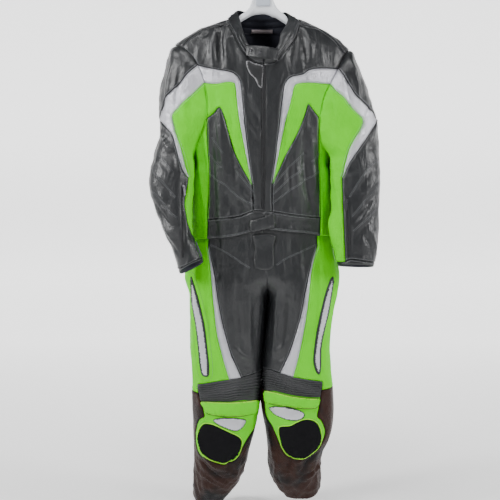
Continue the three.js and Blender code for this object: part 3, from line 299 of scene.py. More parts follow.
KNEE_LOOP = {
    "left": [[-158, -1253], [-136, -1254], [-114, -1263], [-89, -1275], [-64, -1290], [-58, -1310],
        [-67, -1338], [-84, -1358], [-106, -1364], [-137, -1354], [-162, -1338], [-175, -1315],
        [-176, -1286], [-169, -1264]],
    "right": [[48, -1264], [78, -1256], [97, -1246], [116, -1239], [136, -1240], [153, -1252],
        [162, -1276], [163, -1303], [151, -1326], [131, -1340], [95, -1349], [77, -1344], [62, -1325],
        [53, -1305]],
}
BADGE = [[-44, -258], [-21, -264], [3, -273], [2, -303], [-1, -329], [-11, -326], [-21, -306], [-37, -289]]
WAIST_TAB = [[-35, -687], [-19, -681], [0, -676], [30, -665], [35, -684], [35, -704], [0, -714], [-33, -717]]
FLY = [[-24, -726], [34, -726], [32, -760], [30, -816], [-20, -816], [-22, -760]]
COLLAR_TAB = [
    # x, y, top, bottom
    (-45, -78, -216, -245),
    (-22, -87, -217, -249),
    (2, -90, -219, -253),
    (22, -89, -222, -257),
    (41, -83, -226, -258),
]
COLLAR_BAND = [
    # base x, base z, base is on the back, top x, top y, top z
    (1.5, -263, 0, 1.5, -80, -228),
    (-21, -258, 0, -19, -76, -225),
    (-42, -243, 0, -36, -66, -214),
    (-62, -215, 0, -50, -48, -180),
    (-78, -178, 0, -58, -30, -151),
    (-89, -161, 0, -65, -14, -131),
    (-95, -147, 0, -71, 5, -119),
    (-86, -161, 1, -64, 32, -119),
    (-49, -169, 1, -38, 48, -124),
    (3, -172, 1, 2, 53, -127),
    (53, -169, 1, 42, 48, -126),
    (92, -162, 1, 66, 32, -123),
    (100, -150, 0, 72, 5, -126),
    (95, -163, 0, 70, -14, -138),
    (86, -190, 0, 62, -30, -160),
    (70, -216, 0, 48, -50, -185),
    (51, -241, 0, 42, -66, -212),
    (29, -259, 0, 30, -77, -226),
    (4.5, -263, 0, 4.5, -80, -229),
]
HANGER = [
    # x, top, bottom, half depth
    (-214, -194, -208, 6),
    (-190, -179.5, -200, 12),
    (-150, -162, -186, 17),
    (-105, -161, -179, 18),
    (-78, -153, -168, 17),
    (-62, -130, -150, 16),
    (-44, -118, -139, 14),
    (-34, -105, -133, 13),
    (-27, -84, -130, 12),
    (-20, -64, -128, 11),
    (-10, -57, -127, 11),
    (0, -56, -126, 11),
    (10, -57, -127, 11),
    (20, -64, -130, 11),
    (28, -84, -134, 12),
    (38, -105, -137, 13),
    (48, -117, -143, 14),
    (66, -132, -155, 16),
    (80, -154, -170, 17),
    (107, -163, -182, 18),
    (150, -164.5, -190, 17),
    (182, -181, -202, 12),
    (204, -196.5, -210, 6),
]
# The bare oval patches below the knee flaps.
KNEE_BADGE = {
    "left": [[-137, -1240], [-118, -1233], [-88, -1232], [-58, -1236], [-43, -1244], [-52, -1262],
        [-74, -1272], [-104, -1262], [-126, -1252]],
    "right": [[18, -1212], [36, -1203], [66, -1203], [98, -1209], [118, -1221], [112, -1236], [90, -1242],
        [62, -1238], [34, -1228]],
}
FOREARM_ZIP = {
    "left": [[-212, -584], [-216, -628], [-214, -694], [-214, -780]],
    "right": [[226, -623], [228, -668], [230, -722], [231, -780]],
}

# Folds and creases: width and rise in millimetres, then the path by the photograph's pixels.
# A negative rise is a hollow.
FOLDS = {
    "torso": [
        (8.7, -10.5, 221, 22, 219, 45, 218, 66), (10.2, 7.9, 213, 27, 212, 50, 213, 68),
        (10.2, 7.9, 227, 24, 226, 45, 228, 66), (7.2, 4.5, 246, 90, 252, 97, 258, 105),
        (7.2, -5.7, 245, 103, 252, 112, 259, 121), (7.2, 5.1, 246, 118, 253, 128, 259, 138),
        (7.2, 6.4, 240, 190, 246, 201, 250, 213), (4, -4.4, 246, 188, 252, 198, 256, 207),
        (7.2, -7.9, 299, 25, 304, 48, 306, 74), (10.2, 6.8, 306, 30, 309, 40, 311, 56),
        (8.7, -7.9, 297, 28, 293, 48, 291, 66), (8.7, -7.9, 304, 130, 305, 165, 307, 190, 312, 211),
        (10.2, 5.5, 311, 132, 313, 165, 316, 196), (11.6, 6.4, 219, 95, 221, 140, 226, 190),
        (7.2, -5.9, 229, 100, 231, 140, 236, 185), (7.2, -6.8, 211, 150, 213, 185, 216, 210),
        (10.2, 4, 244, 130, 247, 160, 249, 190), (11.6, 4.5, 276, 95, 277, 130, 274, 180),
        (7.2, -4.5, 284, 90, 285, 130, 281, 170), (10.2, 5.1, 295, 150, 296, 180, 298, 207),
        (7.2, -5.1, 290, 150, 290, 180, 291, 206), (8.7, 5.9, 196, 135, 199, 165, 203, 205),
        (7.2, -5.9, 203, 140, 205, 170, 208, 205), (8.7, -5.1, 321, 150, 322, 175, 322, 206),
        (4, 3.6, 206, 219, 221, 218, 237, 215, 256, 211), (4, -3, 206, 224, 222, 223, 238, 220, 248, 217),
        (4, 3.4, 277, 213, 293, 216, 308, 217, 321, 217), (4, -2.6, 277, 218, 293, 220, 321, 221),
        (3.4, 2.4, 209, 206, 209, 213, 210, 220), (3.2, -2.2, 214, 204, 214, 212, 215, 219),
        (3.6, 2.7, 219, 206, 219, 212, 219, 219), (3, -2, 224, 203, 224, 211, 225, 218),
        (3.4, 2.3, 229, 205, 229, 212, 230, 218), (3.6, -2.4, 235, 203, 235, 210, 236, 217),
        (3.2, 2.2, 240, 204, 241, 210, 241, 215), (3.4, 2.4, 247, 200, 248, 207, 248, 212),
        (3.4, 2.4, 277, 202, 276, 208, 276, 213), (3.2, -2.3, 283, 203, 282, 209, 282, 214),
        (3.6, 2.6, 289, 202, 288, 210, 288, 215), (3.2, -2, 296, 205, 295, 211, 295, 216),
        (3.6, 2.4, 302, 204, 301, 211, 301, 217), (3.2, -2.2, 309, 206, 308, 212, 308, 218),
        (3.4, 2.2, 315, 207, 315, 213, 315, 219), (3.6, 3.2, 190, 222, 200, 221, 207, 220),
        (3.2, -3, 190, 227, 200, 226, 208, 225), (3.6, 2.7, 190, 231, 200, 231, 208, 230),
        (3.6, 3.2, 318, 222, 326, 221, 334, 222), (3.2, -2.7, 318, 227, 326, 226, 334, 227),
        (3.6, 2.7, 318, 231, 326, 231, 334, 232), (7.2, 6.8, 199, 29, 203, 33, 206, 38),
        (10.2, 5.5, 232, 30, 240, 50, 246, 62), (10.2, 5.1, 280, 40, 284, 60, 286, 80),
        (4, -2.4, 215, 228, 232, 226, 250, 222), (4, -2.4, 277, 222, 296, 226, 316, 229),
    ],
    "sleeve_left": [
        (8, 6.1, 173, 60, 168, 80, 166, 104), (6, -6.1, 180, 70, 176, 90, 176, 110),
        (7, 5.2, 186, 90, 184, 110, 186, 132), (6, -4.5, 168, 112, 174, 128, 180, 142),
        (7, 5.6, 160, 128, 164, 142, 172, 152), (4, -3.9, 159, 160, 166, 170, 174, 178),
        (5, -4.5, 154, 176, 162, 187, 172, 198), (6, 4.5, 153, 184, 160, 196, 170, 208),
        (5, -4.5, 152, 200, 160, 212, 170, 226), (6, 4.9, 158, 214, 166, 230, 176, 246),
        (5, -3.9, 164, 232, 172, 246, 180, 256), (6, 4.5, 175, 150, 178, 165, 180, 180),
        (5, 4.2, 187, 165, 188, 190, 190, 215), (4, -4.5, 183, 183, 183, 220, 186, 262),
    ],
    "sleeve_right": [
        (8, 6.1, 348, 56, 356, 76, 360, 100), (6, -6, 342, 70, 348, 92, 350, 112),
        (7, 4.9, 334, 92, 338, 112, 338, 132), (6, -4.5, 372, 100, 366, 118, 358, 134),
        (7, 5.2, 376, 120, 372, 138, 362, 152), (5, -4.5, 377, 164, 366, 178, 354, 196),
        (6, 4.5, 379, 174, 368, 190, 356, 206), (5, -4.5, 378, 190, 366, 206, 353, 222),
        (6, 4.2, 376, 202, 364, 216, 354, 230), (5, -4.2, 375, 214, 364, 228, 355, 240),
        (5, -4.5, 362, 230, 368, 243, 372, 256), (6, 4.2, 368, 228, 374, 240, 376, 254),
        (5, -4.2, 322, 149, 327, 160, 332, 171), (6, 4.2, 331, 150, 334, 180, 338, 205),
        (6, 3.5, 338, 205, 340, 230, 341, 256), (4, -3.9, 349, 205, 350, 230, 350, 256),
    ],
    "leg_left": [
        (2.2, -2.2, 210, 246, 225, 253, 240, 263, 250, 269), (10, 5.2, 222, 262, 224, 300, 230, 350),
        (8, -5.2, 238, 275, 238, 315, 242, 360), (9, 4.5, 248, 285, 249, 320, 250, 356),
        (7, -4.2, 205, 262, 207, 300, 213, 350), (5, -4.2, 228, 352, 238, 364, 252, 368),
        (6, 4.2, 232, 345, 243, 356, 256, 360), (4, -3.9, 240, 370, 247, 373, 257, 371),
        (5.75, -8.4, 198, 458, 205, 466, 212, 472, 220, 478, 230, 483),
        (8.05, 8.4, 200, 450, 209, 460, 219, 468, 232, 474), (5.75, 6.3, 204, 476, 212, 482, 222, 487),
        (6.9, -6.75, 234, 452, 228, 466, 226, 482), (8.05, 6.3, 238, 455, 236, 470, 234, 486),
        (6.9, 6.3, 199, 432, 202, 445, 204, 456),
    ],
    "leg_right": [
        (2.2, -2.2, 318, 245, 300, 253, 285, 260, 275, 267), (10, 5.2, 302, 262, 300, 300, 296, 350),
        (8, -5.2, 288, 275, 287, 315, 284, 356), (9, 4.5, 277, 285, 276, 320, 273, 352),
        (7, -4.2, 320, 260, 318, 300, 314, 345), (5, -4.2, 292, 347, 282, 358, 268, 362),
        (6, 4.2, 290, 338, 279, 350, 266, 354), (5.75, -8.4, 318, 452, 310, 460, 304, 468, 298, 476),
        (8.05, 7.8, 312, 446, 304, 456, 294, 466), (6.9, 6.75, 322, 462, 314, 472, 306, 480),
        (6.9, -6.3, 292, 448, 290, 462, 288, 478), (5.75, -5.25, 300, 480, 308, 474, 318, 470),
    ],
}
# Folds on the hidden half, as front-view points in millimetres.
REAR_FOLDS = {
    "torso": [
        (16, 3.2, -60, -230, -66, -330, -58, -460), (18, -3.4, 72, -240, 64, -350, 70, -480),
        (14, -3.0, -140, -300, -128, -420, -120, -540), (15, 3.0, 130, -320, 132, -430, 118, -560),
        (16, -2.6, -10, -420, -4, -520, -12, -640), (9, -2.6, -110, -660, -40, -650, 40, -662),
        (8, 2.2, -30, -700, 60, -694, 130, -704),
    ],
    "sleeve_left": [
        (12, 3, -246, -300, -232, -380, -226, -460), (9, -3, -262, -520, -230, -545, -210, -580),
        (10, 2.6, -286, -560, -250, -590, -215, -625), (9, -2.6, -280, -630, -250, -655, -215, -690),
    ],
    "sleeve_right": [
        (12, -3, 262, -310, 252, -390, 240, -470), (9, 3, 300, -520, 262, -548, 226, -585),
        (10, -2.8, 306, -575, 270, -600, 226, -630), (9, 2.6, 300, -650, 262, -676, 220, -700),
    ],
    "leg_left": [
        (16, 3.4, -60, -800, -70, -860, -60, -930), (14, -3.2, -140, -900, -120, -1010, -118, -1090),
        (9, -3, -160, -1190, -100, -1204, -40, -1196), (9, 3, -170, -1216, -100, -1232, -50, -1222),
        (11, -3, -150, -1300, -120, -1380, -130, -1440),
    ],
    "leg_right": [
        (16, -3.2, 70, -810, 76, -880, 66, -950), (14, 3, 150, -920, 128, -1020, 120, -1100),
        (9, -3, 160, -1180, 100, -1196, 40, -1186), (9, 2.8, 168, -1208, 100, -1222, 44, -1212),
        (11, 3, 140, -1300, 110, -1370, 112, -1440),
    ],
}
# Double rows of quilting by the photograph's pixels.
QUILTING = {
    "torso": [
        [(211, 137), (217, 145), (223, 153)], [(208, 153), (215, 162), (222, 168)],
        [(209, 173), (216, 180), (224, 184), (232, 192), (240, 198), (255, 206)],
        [(235, 170), (245, 182), (253, 192)], [(304, 153), (297, 159), (288, 168), (280, 177), (272, 187)],
        [(304, 168), (290, 178), (279, 188), (272, 195)], [(320, 153), (310, 162)],
        [(320, 171), (305, 180), (290, 190), (271, 204)], [(218, 72), (218, 78)], [(305, 74), (307, 82)],
    ],
    "sleeve_left": [
        [(159, 155), (165, 163), (172, 172)], [(152, 168), (156, 176), (163, 183), (172, 194), (176, 198)],
        [(150, 190), (157, 196), (163, 203), (170, 213), (177, 218)],
    ],
    "sleeve_right": [
        [(379, 158), (365, 172), (352, 192), (349, 198)], [(379, 182), (365, 200), (351, 217)],
        [(378, 208), (365, 220), (352, 232)],
    ],
    "leg_left": [[(210, 245), (225, 252), (240, 262), (250, 268)]],
    "leg_right": [[(318, 244), (300, 252), (285, 259), (275, 266)]],
}




def spline(p0, p1, p2, p3, t):
    bend = 2 * p0 - 5 * p1 + 4 * p2 - p3
    twist = 3 * p1 - p0 - 3 * p2 + p3
    return 0.5 * (2 * p1 + (p2 - p0) * t + bend * t * t + twist * t * t * t)


def smooth(points, spacing=4.0):
    """A Catmull-Rom curve through the points, with a point every few millimetres."""
    p = np.array(points, float)
    if len(p) == 2:
        n = max(int(np.linalg.norm(p[1] - p[0]) / spacing), 1)
        return p[0] + (p[1] - p[0]) * np.linspace(0, 1, n + 1)[:, None]
    is_closed = np.allclose(p[0], p[-1])
    out = []
    for i in range(len(p) - 1):
        before = p[i - 1] if i else (p[-2] if is_closed else 2 * p[0] - p[1])
        after = p[i + 2] if i + 2 < len(p) else (p[1] if is_closed else 2 * p[-1] - p[-2])
        n = max(int(np.linalg.norm(p[i + 1] - p[i]) / spacing), 1)
        out.append(spline(before, p[i], p[i + 1], after, (np.arange(n) / n)[:, None]))
    out.append(p[-1:])
    return np.concatenate(out)


def refine(rows, count):
    """A table's rows with count - 1 smooth rows between each two."""
    rows = np.array(rows, float)
    last = len(rows) - 1
    out = []
    for i in range(last):
        near = [rows[min(max(i + d, 0), last)] for d in (-1, 0, 1, 2)]
        out += [spline(*near, k / count) for k in range(count)]
    out.append(rows[-1])
    return np.array(out)


def curved(table):
    """The table with its lines made smooth."""
    return {key: curved(line) if isinstance(line, dict) else smooth(line) for key, line in table.items()}


def closed(outline):
    return [*outline, outline[0]]


def back(points):
    return points[::-1]


def run_along(points):
    """The distance along a line at each of its points."""
    return np.concatenate([[0], np.cumsum(np.linalg.norm(np.diff(points, axis=0), axis=1))])


def even(line, count):
    """The line with count points at even distances."""
    run = run_along(line)
    return np.stack([np.interp(np.linspace(0, 1, count), run / run[-1], line[:, k]) for k in (0, 1)], 1)


def beside(path, distance):
    """The front-view path moved sideways."""
    p = np.array(path, float)
    d = np.gradient(p, axis=0)
    d /= np.linalg.norm(d, axis=1)[:, None] + 1e-9
    return p + np.stack([-d[:, 1], d[:, 0]], 1) * distance


def tree_of(points):
    """A search tree of two-dimensional or three-dimensional points."""
    tree = kdtree.KDTree(len(points))
    for i, p in enumerate(points):
        tree.insert((*p, 0)[:3], i)
    tree.balance()
    return tree


def grid_faces(rows, columns):
    """The faces of a grid of points, stored row by row."""
    starts = (j * columns + i for j in range(rows - 1) for i in range(columns - 1))
    return [(k, k + 1, k + columns + 1, k + columns) for k in starts]


NECK, SHOULDER, ARMHOLE = curved(NECK), curved(SHOULDER), curved(ARMHOLE)
CHEST, SLEEVE_SEAMS, LEG_SEAMS = curved(CHEST), curved(SLEEVE_SEAMS), curved(LEG_SEAMS)


class Tube:
    """A tube of cloth through its cross-sections, in two halves: the front and the back."""

    def __init__(self, rows):
        # columns: outer x, outer z, inner x, inner z, y, front, back, tilt, front hold, back hold
        self.rows = np.array(rows, float)
        self.last = len(rows) - 1
        self.fine = np.linspace(0, self.last, 40 * self.last + 1)
        self.run = run_along(self.at(np.full_like(self.fine, 0.5), self.fine, True))
        self.length = self.run[-1]
        ring = self.at(np.linspace(0, 1, 60), np.full(60, self.last * 0.5), True)
        self.width = np.linalg.norm(np.diff(ring, axis=0), axis=1).sum()

    def sections(self, v):
        v = np.clip(v, 0, self.last)
        k = np.minimum(v.astype(int), self.last - 1)
        near = [self.rows[np.clip(k + d, 0, self.last)] for d in (-1, 0, 1, 2)]
        return spline(*near, (v - k)[:, None])

    def middle(self, row):
        """x and y of a section's middle."""
        r = self.rows[row]
        return float((r[0] + r[2]) / 2), float(r[4])

    @staticmethod
    def ends(s, front):
        return np.clip(s[:, 8] if front else s[:, 9], 0, 1)

    def across(self, s, share, front):
        """x, y and z at a share of the way from the outer to the inner edge of the sections s."""
        end = (1 - self.ends(s, front) ** FULLNESS) ** (1 / FULLNESS)
        a = np.clip(share * (1 + end) - 1, -1, 1)
        depth = (-s[:, 5] if front else s[:, 6]) * (1 - np.abs(a) ** FULLNESS) ** (1 / FULLNESS)
        x = s[:, 0] + (s[:, 2] - s[:, 0]) * share
        z = s[:, 1] + (s[:, 3] - s[:, 1]) * share + s[:, 7] * depth
        return x, s[:, 4] + depth, z

    def at_share(self, share, v, front):
        return np.stack(self.across(self.sections(v), share, front), 1)

    def at(self, u, v, front):
        """u runs from 0 at the outer end to 1 at the inner end."""
        hold = self.ends(self.sections(v), front)
        angle = u * (math.pi - np.arcsin(hold ** (FULLNESS / 2)))
        a = -np.sign(np.cos(angle)) * np.abs(np.cos(angle)) ** (2 / FULLNESS)
        share = (a + 1) / (1 + (1 - hold ** FULLNESS) ** (1 / FULLNESS))
        return self.at_share(share, v, front)

    def normal(self, u, v, front):
        e = 0.004
        du = self.at(np.clip(u + e, 0, 1), v, front) - self.at(np.clip(u - e, 0, 1), v, front)
        above, below = np.clip(v - 10 * e, 0, self.last), np.clip(v + 10 * e, 0, self.last)
        n = np.cross(du, self.at(u, below, front) - self.at(u, above, front))
        n /= np.linalg.norm(n, axis=1)[:, None] + 1e-9
        s = self.sections(v)
        middle = np.stack([(s[:, 0] + s[:, 2]) / 2, s[:, 4], (s[:, 1] + s[:, 3]) / 2], 1)
        away = ((self.at(u, v, front) - middle) * n).sum(1) < 0
        n[away] *= -1
        return n

    def locate(self, points, front):
        """(u, v) of front-view points. One beyond the tube's edge comes back on that edge."""
        p = np.array(points, float)
        grid = np.linspace(0, self.last, 12 * self.last + 1)
        table = self.sections(grid)
        share = np.clip((p[:, :1] - table[:, 0]) / (table[:, 2] - table[:, 0]), 0, 1)
        below = self.across(table, share, front)[2] <= p[:, 1:]
        k = np.where(below.any(1), below.argmax(1), len(grid) - 1)
        low, high = grid[np.maximum(k - 1, 0)], grid[k]
        for _ in range(18):
            v = (low + high) / 2
            s = self.sections(v)
            share = np.clip((p[:, 0] - s[:, 0]) / (s[:, 2] - s[:, 0]), 0, 1)
            above = self.at_share(share, v, front)[:, 2] > p[:, 1]
            low = np.where(above, v, low)
            high = np.where(above, high, v)
        hold = self.ends(s, front)
        a = np.clip(share * (1 + (1 - hold ** FULLNESS) ** (1 / FULLNESS)) - 1, -1, 1)
        angle = np.arccos(np.clip(-np.sign(a) * np.abs(a) ** (FULLNESS / 2), -1, 1))
        u = angle / (math.pi - np.arcsin(hold ** (FULLNESS / 2)))
        return np.clip(u, 0, 1), v

    def v_of(self, run):
        return np.interp(run, self.run, self.fine)

    def run_of(self, v):
        return np.interp(v, self.fine, self.run)


torso = Tube([[left, z, right, z, y, front, back_, 0, 0, 0] for z, left, right, y, front, back_ in TORSO])


def torso_depth(x, z, front):
    v = torso.locate([(x, z)], front)[1]
    s = torso.sections(v)
    share = np.clip((x - s[:, 0]) / (s[:, 2] - s[:, 0]), 0, 1)
    return torso.at_share(share, v, front)[0, 1]


def sleeve(lines, moves):
    """A sleeve, set in on the torso. Below the armhole its inner edge leans on the body's side by the moves."""
    rows = []
    for i, (*s, set_in, hold) in enumerate(lines):
        if 0 <= i - LEAN_START < len(moves):
            s[2] += moves[i - LEAN_START]
        holds = [hold, hold]
        if set_in:
            front, rear = torso_depth(s[2], s[3], True), torso_depth(s[2], s[3], False)
            holds = [(s[4] - front) / s[5], (rear - s[4]) / s[6]]
        rows.append(s + holds)
    return Tube(rows)


LEAN_START = 10
TUBES = {
    "torso": torso,
    "sleeve_left": sleeve(SLEEVE_LEFT, (3.3, 11, 12, 7.7, 2.2)),
    "sleeve_right": sleeve(SLEEVE_RIGHT, (-3.3, -11, -12, -7.7, -2.2, 0, -12, -13, -7)),
    "leg_left": Tube([[*s, s[8]] for s in LEG_LEFT]),
    "leg_right": Tube([[*s, s[8]] for s in LEG_RIGHT]),
    # The hips, where the fly lies across both legs.
    "hip": Tube([[a[0], a[1], b[0], a[1], *a[4:7], 0, 0, 0] for a, b in list(zip(LEG_LEFT, LEG_RIGHT))[:6]]),
}

# The camera stands where the photograph's did; its pixels give the places of folds and small seams.
EYE = np.array([0.0, -3000.0, -450.0])
AIM = np.array([0.0, 0.0, -775.0])
FOCAL = 1077.7
PICTURE = 500
MIDDLE = (262, 250)
PIXEL = 2.8  # what a pixel spans at the suit


def seen(tube, points):
    """Front-view points of a tube that show at pixels of the photograph."""
    ahead = (AIM - EYE) / np.linalg.norm(AIM - EYE)
    up = np.array([0, -ahead[2], ahead[1]])
    p = np.array(points, float)
    ray = ahead * FOCAL + np.outer(p[:, 0] - MIDDLE[0], [1, 0, 0]) - np.outer(p[:, 1] - MIDDLE[1], up)
    y = np.full(len(p), -80.0)
    for _ in range(4):
        hit = EYE + ray * ((y - EYE[1]) / ray[:, 1])[:, None]
        u, v = tube.locate(hit[:, [0, 2]], True)
        y = tube.at(u, v, True)[:, 1]
    return hit[:, [0, 2]]


def wave(point, size, shift=(0, 0, 0)):
    return noise.noise(point / size + Vector(shift))


class Half:
    """One half of a tube with its seams and folds, which together raise or sink its cloth."""

    # The slack cloth's waves: their rise, and their sizes across and down.
    SLACK = {"sleeve": (2.6, 52, 24), "leg": (2.8, 26, 120), "torso": (2.8, 26, 120), "hip": (2.8, 26, 120)}
    # A seam: the depth and width of its ditch, and the rise, distance and width of the swelling beside it.
    DITCH = (1.25, 1.9)
    SWELLING = (0.9, 6.5, 3.6)

    def __init__(self, key, front, seams=()):
        self.tube = TUBES[key]
        self.kind = key.split("_")[0]
        self.front = front
        self.seams = list(seams)
        rows = (FOLDS if front else REAR_FOLDS).get(key, ())
        self.folds = [(self.fold(row[2:]), row[0], row[1]) for row in rows]
        samples = [self.place(line)[0] for line in self.seams]
        self.tree = tree_of(np.concatenate(samples) if samples else np.zeros((1, 3)) + 1e5)

    def fold(self, values):
        """Points along a fold. In front its path is in pixels, and behind it is in millimetres."""
        points = smooth(np.reshape(values, (-1, 2)), 3.0 if self.front else 7.0)
        if self.front:
            points = seen(self.tube, points)
        return self.place(points)[0]

    def place(self, line):
        u, v = self.tube.locate(line, self.front)
        return self.tube.at(u, v, self.front), self.tube.normal(u, v, self.front), u, v

    def lift(self, points, u, ditch=True):
        """How far the cloth stands out from its tube."""
        rise = np.zeros(len(points))
        for samples, width, height in self.folds:
            low, high = samples.min(0) - 3 * width, samples.max(0) + 3 * width
            near = np.where(((points > low) & (points < high)).all(1))[0]
            if not len(near):
                continue
            d = np.linalg.norm(points[near][:, None] - samples[None], axis=2)
            share = d.argmin(1) / (len(samples) - 1)
            taper = np.sin(np.pi * np.clip(share, 0.04, 0.96)) ** 0.6
            rise[near] += height * taper * np.exp(-(d.min(1) / width) ** 2)
        leg = self.kind == "leg"
        slack, across, down = self.SLACK[self.kind]
        depth, narrow = self.DITCH
        swell, off, broad = self.SWELLING
        for i, p in enumerate(points):
            q = Vector(p)
            rise[i] += wave(q, 46) + 0.6 * wave(q, 16, (7, 3, 1))
            rise[i] += slack * noise.noise(Vector((q.x / across, q.y / across, q.z / down)))
            if leg and p[2] < CRUMPLE_TOP:
                share = min((CRUMPLE_TOP - p[2]) / 40, 1)
                crease = 1 - 2.6 * abs(noise.noise(Vector((q.x / 30 + 3, q.y / 30 + 8, q.z / 44 + 5))))
                rise[i] += share * (2.6 * max(crease, -1) + wave(q, 12))
            if ditch:
                d = self.tree.find(q)[2]
                rise[i] += swell * math.exp(-((d - off) / broad) ** 2) - depth * math.exp(-(d / narrow) ** 2)
        outer, inner = u * self.tube.width, (1 - u) * self.tube.width
        rise -= np.exp(-(outer / 2.0) ** 2)
        if leg:
            rise += 1.1 * np.exp(-(inner / 14) ** 2)
            rise -= 2.6 * np.clip((points[:, 2] + 770) / 28, 0, 1)
        elif self.kind == "torso":
            rise -= np.exp(-(inner / 2.0) ** 2)
        return rise

    def surface(self, u, v, extra=0.0, ditch=True):
        points = self.tube.at(u, v, self.front)
        lift = self.lift(points, u, ditch) + extra
        return points + self.tube.normal(u, v, self.front) * np.reshape(lift, (-1, 1))

    def over(self, line, extra):
        """Points over a front-view line, at a height on the smooth cloth."""
        u, v = self.tube.locate(line, self.front)
        return self.surface(u, v, extra, ditch=False)


def inside(points, outline):
    """Which (x, z) points lie in a closed outline."""
    x, z = points[:, 0], points[:, 1]
    result = np.zeros(len(points), bool)
    ax, az = outline[:, 0], outline[:, 1]
    bx, bz = np.roll(ax, -1), np.roll(az, -1)
    for i in range(len(outline)):
        if az[i] != bz[i]:
            at = ax[i] + (bx[i] - ax[i]) * (z - az[i]) / (bz[i] - az[i])
            result ^= ((az[i] > z) != (bz[i] > z)) & (x < at)
    return result


def outline_of(*parts):
    return np.concatenate([np.array(p, float) for p in parts])


def triangles(points, edges, kind, tolerance):
    """A flat triangulation with these edges: its points and its faces."""
    verts, _, faces, _, _, _ = delaunay_2d_cdt([Vector(p) for p in points], edges, [], kind, tolerance)
    return np.array([[p[0], p[1]] for p in verts]), np.array([f for f in faces if len(f) == 3])


def cut(half, outlines, step=STEP):
    """Cuts one half of a tube along its seams. Gives each outline's points and faces."""
    tube = half.tube
    points, edges = [], []

    def add(line):
        start = len(points)
        points.extend(tuple(p) for p in line)
        edges.extend((start + i, start + i + 1) for i in range(len(line) - 1))

    w, h = tube.width, tube.length
    nx, ny = int(w / step), int(h / step)
    ring = [(w * i / nx, 0) for i in range(nx)] + [(w, h * i / ny) for i in range(ny)]
    ring += [(w - w * i / nx, h) for i in range(nx)] + [(0, h - h * i / ny) for i in range(ny)] + [(0, 0)]
    add(ring)
    for line in half.seams:
        u, v = tube.locate(line, half.front)
        flat = np.stack([u * w, tube.run_of(v)], 1)
        keep = [0]
        for i in range(1, len(flat)):
            if np.linalg.norm(flat[i] - flat[keep[-1]]) > 0.6 * step:
                keep.append(i)
        if len(keep) > 1:
            keep[-1] = len(flat) - 1
            add(flat[keep])
    tree = tree_of(points)
    for j in range(1, ny):
        for i in range(nx):
            p = (w * (i + 0.5 * (j % 2) + 0.25) / nx, h * j / ny)
            if tree.find((*p, 0))[2] > 0.55 * step:
                points.append(p)
    flat, faces = triangles(points, edges, 0, 0.05)
    u = np.clip(flat[:, 0] / w, 0, 1)
    v = tube.v_of(np.clip(flat[:, 1], 0, h))
    raised = half.surface(u, v)
    centre = tube.at(u, v, half.front)[faces].mean(1)[:, [0, 2]]
    pieces = {}
    taken = np.zeros(len(faces), bool)
    for name, outline in outlines.items():
        mine = inside(centre, outline) & ~taken
        taken |= mine
        pieces[name] = (raised, faces[mine])
    return pieces


def mesh_object(name, points, faces, looks=(), smooth_faces=True):
    mesh = bpy.data.meshes.new(name)
    corners = [tuple(p * MM) for p in np.asarray(points, float)]
    mesh.from_pydata(corners, [], [tuple(map(int, f)) for f in faces])
    if smooth_faces:
        mesh.shade_smooth()
    obj = bpy.data.objects.new(name, mesh)
    bpy.context.scene.collection.objects.link(obj)
    for look in looks:
        mesh.materials.append(LOOKS[look])
    return obj


@contextmanager
def edited(obj):
    bm = bmesh.new()
    bm.from_mesh(obj.data)
    yield bm
    bm.to_mesh(obj.data)
    bm.free()


def weld(obj, distance=0.00005):
    with edited(obj) as bm:
        bmesh.ops.remove_doubles(bm, verts=bm.verts, dist=distance)
        bmesh.ops.delete(bm, geom=[v for v in bm.verts if not v.link_faces], context="VERTS")


def face_front(obj):
    """Turns the faces to the front."""
    with edited(obj) as bm:
        for f in bm.faces:
            if f.normal.y > 0:
                f.normal_flip()


def face_away(obj, middle):
    """Turns all the faces the same way, on the whole away from an upright line at (x, y)."""
    def outward(f):
        c = f.calc_center_median() / MM
        return Vector((c.x - middle[0], c.y - middle[1], 0)).normalized()

    with edited(obj) as bm:
        bmesh.ops.recalc_face_normals(bm, faces=bm.faces)
        if sum(f.calc_area() * f.normal.dot(outward(f)) for f in bm.faces) < 0:
            bmesh.ops.reverse_faces(bm, faces=bm.faces)


def thicken(obj, wall, lining=0):
    """Gives a sheet its wall, inward from its face. The inner side has the material with that number."""
    shell = obj.modifiers.new("wall", "SOLIDIFY")
    shell.thickness = wall * MM
    shell.offset = -1
    shell.material_offset = lining


def node(tree, kind, **values):
    n = tree.nodes.new(kind)
    for key, value in values.items():
        if key in n.inputs:
            n.inputs[key].default_value = value
        else:
            setattr(n, key, value)
    return n


